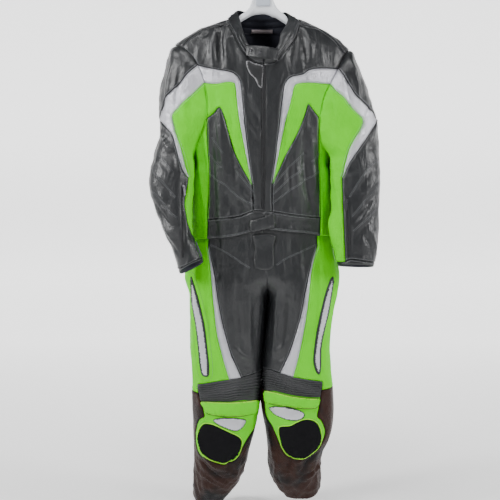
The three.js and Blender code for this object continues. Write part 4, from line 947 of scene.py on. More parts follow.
def material(name, colour, rough, metal=0.0, sheen=0.0, grain=900.0, bump=0.25, vary=0.12, creases=0.0,
             crease_scale=60.0, weave=False, specular=0.5, drape=0.0, stain=None):
    """A surface that is clouded in colour and gloss, with a grain or weave and, if asked, creases and folds."""
    m = bpy.data.materials.new(name)
    m.use_nodes = True
    t = m.node_tree
    link = t.links.new
    shader = t.nodes["Principled BSDF"]
    for key, value in (("Metallic", metal), ("Sheen Weight", sheen), ("Specular IOR Level", specular)):
        shader.inputs[key].default_value = value
    place = node(t, "ShaderNodeTexCoord").outputs["Object"]

    def texture(kind, output, where=place, **values):
        n = node(t, "ShaderNodeTex" + kind, **values)
        link(where, n.inputs["Vector"])
        return n.outputs[output]

    def spread(value, low, high, start=0.0, end=1.0):
        n = node(t, "ShaderNodeMapRange", **{"From Min": start, "From Max": end, "To Min": low, "To Max": high})
        link(value, n.inputs["Value"])
        return n.outputs["Result"]

    def bumped(height, strength, distance, below=None):
        n = node(t, "ShaderNodeBump", Strength=strength, Distance=distance)
        link(height, n.inputs["Height"])
        if below:
            link(below, n.inputs["Normal"])
        return n.outputs["Normal"]

    tint = node(t, "ShaderNodeMix", data_type="RGBA", blend_type="MULTIPLY", Factor=1.0)
    tint.inputs[6].default_value = (*colour, 1)
    cloud = texture("Noise", "Fac", Scale=14.0, Detail=5.0, Roughness=0.6)
    link(spread(cloud, 1 - vary, 1 + vary), tint.inputs[7])
    if stain:
        mixed = node(t, "ShaderNodeMix", data_type="RGBA")
        patches = texture("Noise", "Fac", Scale=11.0, Detail=4.0, Roughness=0.55)
        link(spread(patches, 0, 1, 0.5, 0.64), mixed.inputs["Factor"])
        mixed.inputs[6].default_value = (*colour, 1)
        mixed.inputs[7].default_value = (*stain, 1)
        link(mixed.outputs[2], tint.inputs[6])
    link(tint.outputs[2], shader.inputs["Base Color"])
    worn = texture("Noise", "Fac", Scale=45.0, Detail=6.0)
    link(spread(worn, max(rough - 0.09, 0.05), min(rough + 0.09, 1)), shader.inputs["Roughness"])
    if weave:
        cells = texture("Wave", "Fac", Scale=grain, Distortion=0.6, Detail=1.0)
    else:
        cells = texture("Voronoi", "Distance", Scale=grain, feature="SMOOTH_F1")
    normal = bumped(cells, bump, 0.0004)
    if creases:
        lines = texture("Noise", "Fac", Scale=crease_scale, Detail=8.0, Roughness=0.72, Distortion=1.4)
        normal = bumped(lines, creases, 0.003, normal)
    if drape:
        tall = node(t, "ShaderNodeMapping", vector_type="POINT", Scale=(17, 17, 4.5))
        link(place, tall.inputs["Vector"])
        soft = texture("Noise", "Fac", tall.outputs["Vector"], Scale=1.0, Detail=3.0, Roughness=0.5,
                       Distortion=0.5)
        normal = bumped(soft, drape, 0.02, normal)
    link(normal, shader.inputs["Normal"])
    return m


LOOKS = {
    "leather": material("leather_black", (0.0125, 0.0135, 0.015), 0.36, creases=0.42, drape=0.55, vary=0.3,
                        specular=0.52),
    "green": material("leather_green", (0.10, 0.60, 0.0), 0.5, creases=0.5, drape=0.5, vary=0.2, specular=0.05),
    "silver": material("leather_silver", (0.50, 0.50, 0.54), 0.34, metal=0.5, creases=0.9, drape=0.35,
                       vary=0.14),
    "stretch": material("textile_black", (0.034, 0.035, 0.037), 0.42, grain=420.0, bump=0.5, weave=True,
                        specular=0.25),
    "shin": material("leather_shin", (0.022, 0.0075, 0.0045), 0.42, specular=0.14, stain=(0.006, 0.006, 0.0065),
                     creases=1.0, crease_scale=38.0, vary=0.35),
    "loop": material("loop_black", (0.004, 0.004, 0.005), 0.95, grain=1500.0, bump=0.9, creases=0.4,
                     crease_scale=500.0, specular=0.15),
    "zip": material("zip_tape", (0.006, 0.006, 0.008), 0.7, grain=1200.0, bump=0.5, weave=True),
    "puller": material("zip_metal", (0.055, 0.055, 0.06), 0.34, metal=0.9, grain=400.0, bump=0.06),
    "hanger": material("hanger_grey", (0.74, 0.76, 0.79), 0.42, grain=700.0, bump=0.05, vary=0.03),
    "lining": material("lining_navy", (0.012, 0.014, 0.028), 0.7, sheen=0.2, grain=900.0, bump=0.5, weave=True),
    "label": material("label_pale", (0.34, 0.29, 0.30), 0.7, grain=1500.0, bump=0.4, weave=True),
    "thread": material("thread_dark", (0.15, 0.155, 0.165), 0.6, grain=3000.0, bump=0.2),
    "thread_green": material("thread_green", (0.20, 0.72, 0.03), 0.6, grain=3000.0, bump=0.2),
    "thread_silver": material("thread_silver", (0.30, 0.30, 0.33), 0.6, grain=3000.0, bump=0.2),
    "edge": material("leather_edge", (0.009, 0.0095, 0.0105), 0.5, creases=0.2),
    "plate": material("hanger_plate", (0.42, 0.46, 0.52), 0.45, grain=700.0, bump=0.05, vary=0.03),
    "badge_edge": material("badge_edge", (0.19, 0.19, 0.2), 0.45, creases=0.2),
    "piping": material("piping_lime", (0.33, 0.78, 0.03), 0.45, creases=0.2, specular=0.25),
}


def finish_piece(obj, nodes=()):
    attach(obj, SUIT)
    if nodes:
        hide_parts(*nodes)
    return obj


def declare(faces):
    """Splits a sheet's four-sided faces into triangles; the result is not kept or used."""
    faces = np.array(faces)
    if faces.shape[1] == 4:
        faces = np.concatenate([faces[:, :3], faces[:, [0, 2, 3]]])


def cloth(name, look, parts, middle=(0, 0)):
    """A thin shell of cloth from one or more cut parts, with its lining on the inner side."""
    points = np.concatenate([p for p, _ in parts])
    starts = np.cumsum([0] + [len(p) for p, _ in parts[:-1]])
    faces = np.concatenate([f + s for (_, f), s in zip(parts, starts)])
    obj = mesh_object(name, points, faces, [look, "lining"])
    weld(obj)
    face_away(obj, middle)
    thicken(obj, WALL, 1)
    finish_piece(obj, [name])
    declare(faces)


def sheet(name, look, points, faces, wall):
    """A piece that faces the front, with the same material on both sides."""
    points = np.array(points)
    obj = mesh_object(name, points, faces, [look])
    face_front(obj)
    thicken(obj, wall)
    finish_piece(obj, [name])
    declare(faces)


def bead(name, look, path, radius, sides=8):
    """A round cord or a row of piping through points in millimetres."""
    curve = bpy.data.curves.new(name, "CURVE")
    curve.dimensions = "3D"
    line = curve.splines.new("POLY")
    line.points.add(len(path) - 1)
    for point, p in zip(line.points, path):
        point.co = (*(np.array(p) * MM), 1)
    curve.bevel_depth = radius * MM
    curve.bevel_resolution = sides // 2 - 1
    curve.use_fill_caps = True
    temp = bpy.data.objects.new(name + "_path", curve)
    bpy.context.scene.collection.objects.link(temp)
    bpy.context.view_layer.update()
    mesh = bpy.data.meshes.new_from_object(temp.evaluated_get(bpy.context.evaluated_depsgraph_get()))
    bpy.data.objects.remove(temp)
    bpy.data.curves.remove(curve)
    mesh.name = name
    mesh.materials.clear()
    mesh.materials.append(LOOKS[look])
    mesh.shade_smooth()
    obj = bpy.data.objects.new(name, mesh)
    bpy.context.scene.collection.objects.link(obj)
    finish_piece(obj)


class Sewing:
    """Stitches of one colour, gathered into one mesh."""

    LENGTH = 2.7
    PITCH = 3.9
    RADIUS = 0.5

    def __init__(self):
        self.points = []
        self.faces = []

    def row(self, half, path, lift=0.4):
        _, normals, u, v = half.place(smooth(path, 3.0))
        points = half.surface(u, v, lift)
        away = np.minimum(u, 1 - u) > 0.004
        run = run_along(points)
        for i in range(int(run[-1] / self.PITCH)):
            t = (i + 0.5) * self.PITCH
            k = min(int(np.searchsorted(run, t)), len(points) - 1)
            if k < 1 or not away[k]:
                continue
            a, b = points[k - 1], points[k]
            along = (b - a) / (np.linalg.norm(b - a) + 1e-9)
            self.stitch(a + along * (t - run[k - 1]), along, normals[k])

    def stitch(self, centre, along, normal):
        side = np.cross(along, normal)
        side /= np.linalg.norm(side) + 1e-9
        start = len(self.points)
        for share, size in ((-0.5, 0.4), (-0.3, 1.0), (0.3, 1.0), (0.5, 0.4)):
            middle, radius = centre + along * self.LENGTH * share, self.RADIUS * size
            for c, s in ((1, 0), (0, 1), (-1, 0), (0, -1)):
                self.points.append(middle + (side * c + normal * s) * radius)
        for j in range(3):
            for k in range(4):
                a, b = start + 4 * j + k, start + 4 * j + (k + 1) % 4
                self.faces.append((a, b, b + 4, a + 4))
        self.faces.append((start, start + 3, start + 2, start + 1))
        self.faces.append((start + 12, start + 13, start + 14, start + 15))

    def make(self, name, look, slot):
        finish_piece(mesh_object(name, self.points, self.faces, [look]))


def overlay(name, look, half, outline, thick, rim=None, rim_width=0.0, puff=0.0, step=3.6,
            pad=False, fuzz=0.0, stands_in=True):
    """A piece that lies on a panel: its edge is sunk a little into the panel, and its middle stands out."""
    line = smooth(closed(outline), 3.0)[:-1]
    tree = tree_of(line)
    low, high = line.min(0), line.max(0)
    points = [tuple(p) for p in line]
    for j, z in enumerate(np.arange(low[1], high[1], step * 0.87)):
        row = np.arange(low[0] + step * 0.5 * (j % 2), high[0], step)
        row = np.stack([row, np.full(len(row), z)], 1)
        points += [tuple(p) for p in row[inside(row, line)] if tree.find((*p, 0))[2] > 0.5 * step]
    n = len(line)
    flat, faces = triangles(points, [(i, (i + 1) % n) for i in range(n)], 1, 0.02)
    gap = np.array([tree.find((*p, 0))[2] for p in flat])
    gap[gap < 0.05] = 0
    extra = -PIECE_EDGE + (thick + PIECE_EDGE) * (1 - np.exp(-gap / 0.77))
    extra += puff * np.sin(np.clip(gap / max(gap.max(), 1), 0, 1) * np.pi / 2)
    if rim:
        extra -= 1.1 * np.exp(-((gap - rim_width) / 1.3) ** 2)
    if fuzz:
        extra += np.array([fuzz * noise.noise(Vector((*p, 0)) / 1.7) for p in flat])
    raised = half.over(flat, extra)
    obj = mesh_object(name, raised, faces, [look, rim] if rim else [look])
    face_front(obj)
    if rim:
        for f in obj.data.polygons:
            centre = flat[list(f.vertices)].mean(0)
            f.material_index = 1 if tree.find((*centre, 0))[2] < rim_width else 0
    finish_piece(obj, [name] if stands_in else [])
    if pad:
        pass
    else:
        thicken(obj, PIECE_WALL)
        declare(faces)


def ribbed(name, half, top, bottom, ribs, height):
    """A stretch panel between two seams, with ribs that run across it."""
    columns, rows = 57, ribs * 8 + 1
    t = np.linspace(0, 1, rows)[:, None, None]
    grid = (even(top, columns)[None] * (1 - t) + even(bottom, columns)[None] * t).reshape(-1, 2)
    share = np.repeat(t[:, 0, 0], columns)
    across = np.tile(np.linspace(0, 1, columns), rows)
    wander = 0.16 * np.sin(9 * across + 2) + 0.1 * np.sin(23 * across)
    ridge = np.abs(np.sin(np.pi * (share * ribs + wander))) ** 0.7
    ends = np.clip(np.minimum(share, 1 - share) * ribs, 0, 1)
    depth = height * (0.75 + 0.25 * np.sin(5 * across + share * 7))
    points = half.over(grid, (ridge * depth - 0.8) * ends)
    sheet(name, "stretch", points, grid_faces(rows, columns), PIECE_WALL)


# The jacket's body.
ARM_KEYS = ("upper", "band", "inner", "under")


def torso_outlines(side):
    arm, c, hem = ARMHOLE[side], CHEST[side], SIDE_HEM[side]
    out = OUT[side] * OUTSIDE
    top = arm["top"]
    return {
        "front_center_" + side: outline_of(
            [[ZIP_X, -265]], back(NECK[side]), SHOULDER[side], arm["upper"], c["bandTop"], c["frontDart"],
            [[ZIP_X, -660]]),
        "chest_band_" + side: outline_of(arm["band"], c["bandLow"], back(c["bandTop"])),
        "chest_wedge_" + side: outline_of(arm["inner"], c["wedgeLow"], back(c["bandLow"])),
        "front_lower_" + side: outline_of(c["wedgeLow"], c["frontDart"], back(c["waist"]), back(c["side"])),
        "side_panel_" + side: outline_of(
            back(arm["under"]), c["side"], c["sideLow"], [[out, hem], [out, arm["under"][-1][1]]]),
        "waistband_" + side: outline_of(c["waist"], c["waistMiddle"], back(c["hem"]), back(c["sideLow"])),
        "shoulder_" + side: outline_of(
            [[NECK[side][0][0], 0]], NECK[side][:1], SHOULDER[side], back(top), [[top[0][0], 0]]),
    }


HIP_EDGE = 260  # a distance beyond the torso's edge at its hem
front_seams, rear_seams, outlines = [], [NECK["back"]], {}
for side in SIDES:
    armhole_seams = [SHOULDER[side], ARMHOLE[side]["top"], *(ARMHOLE[side][k] for k in ARM_KEYS)]
    hem_end = [CHEST[side]["sideLow"][-1], [OUT[side] * HIP_EDGE, SIDE_HEM[side]]]
    front_seams += [NECK[side], *armhole_seams, *CHEST[side].values(), smooth(hem_end)]
    rear_seams += armhole_seams
    outlines.update(torso_outlines(side))
rear_hem = [[-HIP_EDGE, SIDE_HEM["left"]], [HIP_EDGE, SIDE_HEM["right"]]]
rear_seams.append(smooth(rear_hem))
front_seams.append(smooth([[ZIP_X, -266], [ZIP_X, -659]]))
torso_front = Half("torso", True, front_seams)
torso_rear = Half("torso", False, rear_seams)
left_arm, right_arm = ARMHOLE["left"], ARMHOLE["right"]
rear_outline = outline_of(
    back(NECK["back"]), SHOULDER["left"], *(left_arm[k] for k in ARM_KEYS),
    [[-OUTSIDE, left_arm["under"][-1][1]], [-OUTSIDE, SIDE_HEM["left"]], [OUTSIDE, SIDE_HEM["right"]],
     [OUTSIDE, right_arm["under"][-1][1]]],
    *(back(right_arm[k]) for k in reversed(ARM_KEYS)), back(SHOULDER["right"]))
front_parts = cut(torso_front, outlines)
rear_parts = cut(torso_rear, {
    "shoulder_left": outlines["shoulder_left"], "shoulder_right": outlines["shoulder_right"],
    "back_panel": rear_outline,
})
TORSO_LOOKS = {
    "front_center": "leather", "chest_band": "silver", "chest_wedge": "green", "front_lower": "leather",
    "side_panel": "green", "waistband": "leather",
}
for side in SIDES:
    for kind, look in TORSO_LOOKS.items():
        name = f"{kind}_{side}"
        cloth(name, look, [front_parts[name]], middle=(0, 2))
    name = "shoulder_" + side
    cloth(name, "leather", [front_parts[name], rear_parts[name]], middle=(0, 5))
cloth("back_panel", "leather", [rear_parts["back_panel"]], middle=(0, 2))

# The sleeves.
EVERYWHERE = outline_of([[-OUTSIDE, 50], [OUTSIDE, 50], [OUTSIDE, -BEYOND], [-OUTSIDE, -BEYOND]])
fronts = {"torso": torso_front}
for side in SIDES:
    s = SLEEVE_SEAMS[side]
    key = "sleeve_" + side
    tube = TUBES[key]
    out = OUT[side] * OUTSIDE
    top_z, band_z, end = s["bandTop"][0][1], s["bandInner"][0][1], s["cuffInner"][-1][1]
    outer_z, low_z, cuff_z = s["bandTop"][-1][1], s["bandLow"][0][1], s["cuffOuter"][0][1]
    front = fronts[key] = Half(key, True, s.values())
    rear = Half(key, False, [s["cuffInner"], s["cuffOuter"]])
    cuff = outline_of(s["cuffOuter"], s["cuffInner"], [[0, end], [0, -BEYOND], [out, -BEYOND], [out, cuff_z]])
    front_parts = cut(front, {
        "sleeve_top_" + side: outline_of([[out, 0], [0, 0], [0, top_z]], s["bandTop"], [[out, outer_z]]),
        "sleeve_band_" + side: outline_of(
            [[0, top_z], [0, band_z]], s["bandInner"], back(s["bandLow"]), [[out, low_z], [out, outer_z]],
            back(s["bandTop"])),
        "sleeve_inner_" + side: outline_of(
            [[0, band_z], [0, end]], back(s["cuffInner"]), back(s["strip"]), back(s["bandInner"])),
        "sleeve_lower_" + side: outline_of(
            s["bandLow"], s["strip"], back(s["cuffOuter"]), [[out, cuff_z], [out, low_z]]),
        "cuff_" + side: cuff,
    }, SLEEVE_STEPS[0])
    rear_parts = cut(rear, {"cuff_" + side: cuff, "sleeve_rear_" + side: EVERYWHERE}, SLEEVE_STEPS[1])
    x, y = tube.middle(8)
    for kind, look in (("top", "leather"), ("band", "silver"), ("inner", "green"), ("lower", "leather")):
        name = f"sleeve_{kind}_{side}"
        cloth(name, look, [front_parts[name]], middle=(x, y - 25))
    name = "sleeve_rear_" + side
    cloth(name, "leather", [rear_parts[name]], middle=(x, y - 25))
    name = "cuff_" + side
    cloth(name, "leather", [front_parts[name], rear_parts[name]], middle=tube.middle(tube.last))

# The trousers.
WAIST_Z = -600
LEG_LOOKS = (("leg_front", "leather"), ("leg_band", "silver"), ("leg_outer", "green"), ("knee_panel", "green"),
             ("shin", "shin"))
for side in SIDES:
    s = LEG_SEAMS[side]
    key = "leg_" + side
    out = OUT[side] * OUTSIDE
    across = -OUT[side] * 60
    start_x, start_z = s["bandInner"][0]
    knee_z, low_end_z, low_z = s["kneeInner"][-1][1], s["kneeLow"][-1][1], s["sideLow"][0][1]
    front = fronts[key] = Half(key, True, [*s.values(), smooth([[start_x, start_z], [start_x, -700]])])
    rear = Half(key, False)
    front_parts = cut(front, {
        "leg_front_" + side: outline_of(
            [[start_x, WAIST_Z]], s["bandInner"], s["kneeInner"], [[across, knee_z], [across, WAIST_Z]]),
        "leg_band_" + side: outline_of(s["bandInner"], back(s["kneeBand"]), back(s["bandOuter"])),
        "leg_outer_" + side: outline_of(
            [[start_x, WAIST_Z]], s["bandOuter"], back(s["kneeOuter"]), s["side"], back(s["sideLow"]),
            [[out, low_z], [out, WAIST_Z]]),
        "knee_stretch_" + side: outline_of(
            s["side"], s["stretchSide"], s["kneeLow"], [[across, low_end_z], [across, knee_z]],
            back(s["kneeInner"]), back(s["kneeBand"]), back(s["kneeOuter"])),
        "knee_panel_" + side: outline_of(s["kneeLow"], s["knee"]),
        "shin_" + side: outline_of(
            [[out, low_z]], s["sideLow"], s["stretchSide"], s["kneeLow"],
            [[across, low_end_z], [across, -BEYOND], [out, -BEYOND]]),
    }, LEG_STEPS[0])
    rear_parts = cut(rear, {"leg_rear_" + side: EVERYWHERE}, LEG_STEPS[1])
    x, _ = TUBES[key].middle(8)
    for kind, look in LEG_LOOKS:
        name = f"{kind}_{side}"
        cloth(name, look, [front_parts[name]], middle=(x, 20))
    name = "leg_rear_" + side
    cloth(name, "stretch", [rear_parts[name]], middle=(x, 0))
    knee_top = np.concatenate([s["kneeOuter"], s["kneeInner"]])
    ribbed("knee_stretch_" + side, front, knee_top, s["kneeLow"], 9, 4.0)
    overlay("thigh_patch_" + side, "silver", front, THIGH_PATCH[side], 2.4, "edge",
            6.5, 1.2)
    overlay("knee_flap_" + side, "green", front, KNEE_FLAP[side], 6.6, "piping", 2.4, 2.2)
    # A dark cord round each knee flap: partly the flap's own dark edge line, partly painted shadow under the
    # flap's lower edge.
    bead("knee_flap_edge_and_shadow_" + side, "edge", front.over(smooth(closed(KNEE_FLAP[side])), 0.5), 1.0)
    overlay("knee_badge_" + side, "silver", front, KNEE_BADGE[side], 2.4, "edge", 3.6, 1.2, 3.0,
            stands_in=False)
    overlay("knee_loop_" + side, "loop", front, KNEE_LOOP[side], 4.6, step=2.6, pad=True, fuzz=0.5)
    ring = smooth(closed(KNEE_LOOP[side]))
    turn = np.sign(np.sum(ring[:, 0] * np.roll(ring[:, 1], -1) - ring[:, 1] * np.roll(ring[:, 0], -1)))
    bead("knee_loop_piping_" + side, "piping", front.over(beside(ring, -1.8 * turn), 1.0), 1.3)


def collar():
    """The collar, from its base on the neckline to its upper edge, with sewn ribs along it."""
    base = [(bx, torso_depth(bx, bz, not is_back), bz, *top) for bx, bz, is_back, *top in COLLAR_BAND]
    path = refine(base, 5)
    rows = 22
    ribs = ((0.28, 2.4, 0.06), (0.60, 2.4, 0.06), (0.92, 1.8, 0.07))
    points = []
    for j in range(rows + 1):
        t = 1.07 * j / rows - 0.07
        reach = t * (1 + 0.14 * np.clip((path[:, 4:5] + 5) / 30, 0, 1))
        p = path[:, :3] * (1 - reach) + path[:, 3:] * reach
        away = (p - [2, 0, 0]) * [1, 1, 0]
        away /= np.linalg.norm(away, axis=1)[:, None]
        rib = sum(rise * math.exp(-((t - middle) / width) ** 2) for middle, rise, width in ribs)
        bulge = 20 * max(t, 0) * (1 - t) + rib
        wobble = np.array([0.9 * noise.noise(Vector(q) / 30) for q in p])
        points.append(p + away * (bulge + wobble)[:, None])
    points = np.concatenate(points)
    faces = grid_faces(rows + 1, len(path))
    obj = mesh_object("collar", points, faces, ["leather", "lining"])
    face_away(obj, (2, 0))
    thicken(obj, 2.4, 1)
    finish_piece(obj, ["collar"])
    declare(faces)


collar()

# The collar tab leans out with its height, and its edge is bound.
TAB_LEAN = 0.3
TAB_MIDDLE = -219
TAB_RISE = 2.8
TAB_ROWS = 15
tab_rows = refine(COLLAR_TAB, 10)
tab_points = []
for t in np.arange(TAB_ROWS) / (TAB_ROWS - 1):
    for i, (x, y, top, bottom) in enumerate(tab_rows):
        z = top + (bottom - top) * t
        edge = min(t, 1 - t) * (top - bottom)
        end = min(i, len(tab_rows) - 1 - i)
        rounded = 1.9 * (1 - math.exp(-min(edge, end * 2.2) / 1.2)) - 0.5 * math.exp(-(edge - 3.4) ** 2)
        tab_points.append((x, y + TAB_LEAN * (z - TAB_MIDDLE) - 1.0 - rounded, z))
sheet("collar_tab", "leather", tab_points, grid_faces(TAB_ROWS, len(tab_rows)), 2.0)


def snap(name, place, normal, radius, height):
    """A domed snap on a piece's face."""
    profile = ((1.0, 0.0), (1.0, 0.35), (0.9, 0.6), (0.72, 0.66), (0.62, 0.86), (0.3, 1.0))
    n = Vector(normal).normalized()
    side = n.orthogonal().normalized()
    up = n.cross(side)
    points, faces = [], []
    count = 20
    for r, h in profile:
        for k in range(count):
            a = 2 * math.pi * k / count
            points.append(Vector(place) + (side * math.cos(a) + up * math.sin(a)) * r * radius + n * h * height)
    points.append(Vector(place) + n * height * 1.03)
    top = (len(profile) - 1) * count
    for j in range(0, top, count):
        for k in range(count):
            a, b = j + k, j + (k + 1) % count
            faces.append((a, b, b + count, a + count))
    faces += [(top + k, top + (k + 1) % count, len(points) - 1) for k in range(count)]
    faces.append(tuple(range(count))[::-1])
    finish_piece(mesh_object(name, points, faces, ["puller"]))


# The chest's badge, the waist tab and the fly.
overlay("badge", "edge", torso_front, BADGE, 2.8, "badge_edge", 3.2, 1.4, 3.0)
overlay("waist_tab", "leather", torso_front, WAIST_TAB, 4.6, "edge",
        3.4, 1.0, 3.0)
overlay("fly", "leather", Half("hip", True), FLY, 2.6, "edge",
        3.0, 0.6, 3.4)


def tape(name, half, path, lift):
    """A zip's tape, with its edges sunk into the panel."""
    line = smooth(path, 3.0)
    columns, width = 7, 8.5
    flat = np.stack([beside(line, width * (i / (columns - 1) - 0.5)) for i in range(columns)], 1).reshape(-1, 2)
    share = np.tile(np.linspace(-1, 1, columns), len(line))
    points = half.over(flat, lift * (1 - share ** 4) - 0.6 * share ** 4)
    sheet(name, "zip", points, grid_faces(len(line), columns), 0.8)


def teeth(name, half, path, lift=1.9, pitch=2.6, size=(2.6, 1.2, 1.4)):
    """Two rows of zip teeth that mesh along a path."""
    line = smooth(path, 2.0)
    points = half.over(line, lift)
    normals = half.place(line)[1]
    run = run_along(points)
    verts, faces = [], []
    for i in range(int(run[-1] / pitch * 2)):
        t = (i + 0.5) * pitch / 2
        k = min(max(int(np.searchsorted(run, t)), 1), len(points) - 1)
        a, b = points[k - 1], points[k]
        down = (b - a) / np.linalg.norm(b - a)
        n = normals[k]
        side = np.cross(down, n)
        centre = a + down * (t - run[k - 1]) + side * (0.75 if i % 2 else -0.75)
        start = len(verts)
        for x in (-0.5, 0.5):
            for y in (-0.5, 0.5):
                for z, shrink in ((-0.5, 1.0), (0.5, 0.8)):
                    flat = (side * x * size[0] + down * y * size[1]) * shrink
                    verts.append(centre + flat + n * z * size[2])
        for f in ((0, 1, 3, 2), (4, 6, 7, 5), (0, 4, 5, 1), (2, 3, 7, 6), (0, 2, 6, 4), (1, 5, 7, 3)):
            faces.append(tuple(start + q for q in f))
    finish_piece(mesh_object(name, verts, faces, ["zip"], smooth_faces=False))


FRONT_ZIP = [[ZIP_X, -268], [ZIP_X, -656]]
tape("front_zip", torso_front, FRONT_ZIP, 1.2)
teeth("front_zip_teeth", torso_front, FRONT_ZIP)
for side in SIDES:
    tape("forearm_zip_" + side, fronts["sleeve_" + side], FOREARM_ZIP[side], 1.3)
    teeth("forearm_zip_teeth_" + side, fronts["sleeve_" + side], FOREARM_ZIP[side])

# Sewing: rows of stitches by thread, seam and distance, on the near or the far side of the seam, and the
# photograph's double rows of quilting.
dark, bright, pale = Sewing(), Sewing(), Sewing()
for side in SIDES:
    near, off = -SEWN * OUT[side], SEWN * OUT[side]
    body = {"neck": NECK[side], "shoulder": SHOULDER[side], **ARMHOLE[side], **CHEST[side]}
    leg = {**LEG_SEAMS[side], "patch": smooth(closed(THIGH_PATCH[side]))}
    jobs = (
        (torso_front, body, (
            (dark, "neck", SEWN), (dark, "shoulder", SEWN), (dark, "shoulder", -SEWN), (dark, "upper", near),
            (dark, "frontDart", SEWN), (dark, "frontDart", -SEWN), (dark, "waist", SEWN),
            (dark, "waist", -SEWN), (dark, "waistMiddle", SEWN),
            (dark, "hem", 1.25 * near), (dark, "hem", 2 * near),
            (dark, "bandTop", near), (dark, "wedgeLow", off), (bright, "bandLow", off), (bright, "side", near),
            (bright, "under", near), (pale, "bandTop", off), (pale, "bandLow", near))),
        (fronts["sleeve_" + side], SLEEVE_SEAMS[side], (
            (dark, "bandTop", near), (dark, "bandLow", off), (dark, "cuffOuter", SEWN),
            (dark, "cuffOuter", -SEWN), (dark, "strip", off), (bright, "bandInner", off),
            (bright, "strip", near), (pale, "bandTop", off), (pale, "bandLow", near),
            (pale, "bandInner", near))),
        (fronts["leg_" + side], leg, (
            (dark, "bandInner", near), (dark, "kneeInner", near), (dark, "patch", 2.25 * near),
            (bright, "bandOuter", off), (bright, "kneeOuter", near), (bright, "knee", off),
            (bright, "knee", 1.75 * off), (pale, "bandOuter", near), (pale, "bandInner", off))),
    )
    for half, seams, rows in jobs:
        for thread, seam, distance in rows:
            thread.row(half, beside(seams[seam], distance))
for key, paths in QUILTING.items():
    for path in paths:
        line = seen(TUBES[key], smooth(path, 1.2))
        for distance in (1.6, -1.6):
            dark.row(fronts[key], beside(line, distance), 0.8)
dark.make("stitches_dark", "thread", "leather")
bright.make("stitches_green", "thread_green", "green")
pale.make("stitches_silver", "thread_silver", "silver")

# A fine cord of piping lies in each armhole's seam, in the colour of the panel beside it.
PIPING = (("upper", "edge", ("top", "upper"), "leather"), ("low", "green", ("inner", "under"), "green"),
          ("band", "silver", ("band",), "silver"))
for side in SIDES:
    for name, look, keys, slot in PIPING:
        path = np.concatenate([ARMHOLE[side][k] for k in keys])
        bead(f"armhole_piping_{name}_{side}", look, torso_front.over(path, 0.1), 1.1)

# The label inside the neck stays bare.
label_points = [(x, 66.5 - 3.2 * (x / 30) ** 2, z)
                for z in (-162, -167.5, -173) for x in np.linspace(-29, 30, 13)]
label = mesh_object("neck_label", label_points, grid_faces(3, 13), ["label"])
thicken(label, 1.2)
finish_piece(label)

for i, (x, z) in enumerate(((-30, -231), (-7, -236))):
    y = np.interp(x, tab_rows[:, 0], tab_rows[:, 1]) + TAB_LEAN * (z - TAB_MIDDLE) - TAB_RISE
    snap(f"collar_snap_{i + 1}", (x, y, z), (-0.1 + 0.1 * i, -1, 0.3), 3.9, 1.8)


def rounded_off(value, power=0.8):
    return math.copysign(abs(value) ** power, value)


def hanger():
    """The moulded hanger with a groove along its middle, its hook and the bare plate below the hook."""
    rows = refine(HANGER, 4)
    count = 36
    points = []
    for x, top, bottom, depth in rows:
        for k in range(count):
            c, s = math.cos(2 * math.pi * k / count), math.sin(2 * math.pi * k / count)
            groove = 1 - 0.10 * math.exp(-((c - 0.05) / 0.12) ** 2)
            z = (top + bottom) / 2 + (top - bottom) / 2 * rounded_off(c)
            points.append((x, 5 + depth * rounded_off(s) * groove, z))
    faces = [(i + k, i + (k + 1) % count, i + (k + 1) % count + count, i + k + count)
             for i in range(0, (len(rows) - 1) * count, count) for k in range(count)]
    faces.append(tuple(range(count))[::-1])
    faces.append(tuple((len(rows) - 1) * count + k for k in range(count)))
    obj = mesh_object("hanger", points, faces, ["hanger"])
    with edited(obj) as bm:
        bmesh.ops.recalc_face_normals(bm, faces=bm.faces)
    finish_piece(obj, ["hanger"])
    wire = [(0, 5, -68), (0, 5, -62), (3, 4, -46), (18, 1, -36), (24, 0, -20), (16.8, 0, -3.2), (0, 0, 4),
            (-16.8, 0, -3.2), (-24, 0, -20), (-20.6, 0, -32)]
    bead("hook", "hanger", refine(wire, 8), 3.9, 16)
    corners = [(x + 2, -7.6, z) for z in (-84, -91, -98, -105) for x in (-19, -9.5, 0, 9.5, 19)]
    obj = mesh_object("hanger_plate", corners, grid_faces(4, 5), ["plate"])
    wall = obj.modifiers.new("plate", "SOLIDIFY")
    wall.thickness = 3.0 * MM
    wall.offset = 0
    bevel = obj.modifiers.new("round", "BEVEL")
    bevel.width = 0.7 * MM
    bevel.segments = 2
    finish_piece(obj)


hanger()

for name in ("forearm_slider_", "forearm_puller_"):
    for side in SIDES:
        obj = bpy.data.objects[name + side]
        obj.data.materials.clear()
        obj.data.materials.append(LOOKS["puller"])

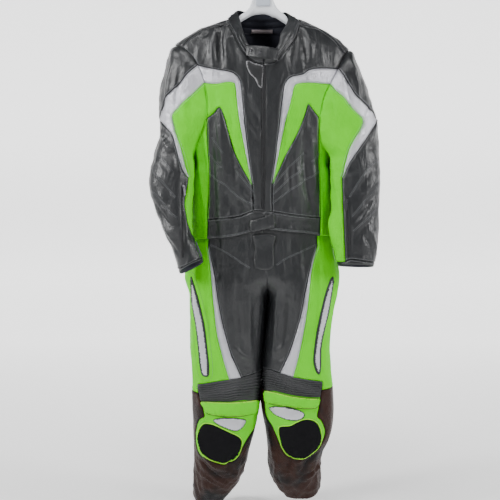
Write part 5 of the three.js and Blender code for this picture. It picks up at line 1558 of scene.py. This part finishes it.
# The stage: a floor that turns up into a wall, and that glows more towards the wall. From here on in metres.
FLOOR_GAP = 0.035
floor_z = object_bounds()[0][2] - FLOOR_GAP
profile = ((-6.0, 0), (4.5, 0), (5.4, 0.05), (6.0, 0.25), (6.4, 0.7), (6.5, 1.4), (6.5, 6.0))
stage_points = [(x / MM, y / MM, (floor_z + z) / MM) for y, z in profile for x in (-16.0, 16.0)]
stage = mesh_object("stage", stage_points, grid_faces(len(profile), 2))
curve = stage.modifiers.new("round", "SUBSURF")
curve.levels = curve.render_levels = 3
paper = bpy.data.materials.new("paper")
paper.use_nodes = True
tree = paper.node_tree
shader = tree.nodes["Principled BSDF"]
shader.inputs["Base Color"].default_value = (0.93, 0.93, 0.93, 1)
shader.inputs["Roughness"].default_value = 0.9
shader.inputs["Emission Color"].default_value = (1, 1, 1, 1)
split = node(tree, "ShaderNodeSeparateXYZ")
glow = node(tree, "ShaderNodeMapRange", **{"From Min": 0.2, "From Max": 2.6, "To Min": 0.35, "To Max": 1.6})
tree.links.new(node(tree, "ShaderNodeTexCoord").outputs["Object"], split.inputs[0])
tree.links.new(split.outputs["Y"], glow.inputs["Value"])
tree.links.new(glow.outputs["Result"], shader.inputs["Emission Strength"])
stage.data.materials.append(paper)


def aimed(name, data, place, target):
    obj = bpy.data.objects.new(name, data)
    obj.location = place
    obj.rotation_euler = (Vector(target) - Vector(place)).to_track_quat("-Z", "Y").to_euler()
    bpy.context.scene.collection.objects.link(obj)
    return obj


# name, place, the height of what it faces, width and height, watts
SOFTBOXES = (
    ("key", (-2.2, -1.05, 0.5), -0.65, (0.4, 1.1), 68),
    ("fill", (2.2, -0.9, 0.1), -0.7, (0.4, 1.2), 47),
    ("top", (-0.2, -1.1, 1.6), -0.4, (0.9, 0.4), 32),
    ("left_strip", (-1.7, -2.35, 0.0), -0.7, (0.14, 1.5), 13),
    ("right_strip", (1.8, -2.3, -0.1), -0.7, (0.14, 1.5), 9),
)
for name, place, height, size, power in SOFTBOXES:
    light = bpy.data.lights.new(name, "AREA")
    light.shape = "RECTANGLE"
    light.size, light.size_y = size
    light.energy = power
    aimed(name, light, place, (0, 0, height))
world = bpy.data.worlds.new("studio")
world.use_nodes = True
world.node_tree.nodes["Background"].inputs["Color"].default_value = (1, 1, 1, 1)
world.node_tree.nodes["Background"].inputs["Strength"].default_value = 0.13
bpy.context.scene.world = world

lens = bpy.data.cameras.new("camera")
lens.sensor_width = 36
lens.lens = FOCAL / PICTURE * 36
shift = Vector((-(MIDDLE[0] - PICTURE / 2) * PIXEL * MM, 0, 0))
bpy.context.scene.camera = aimed("camera", lens, Vector(EYE * MM) + shift, Vector(AIM * MM) + shift)
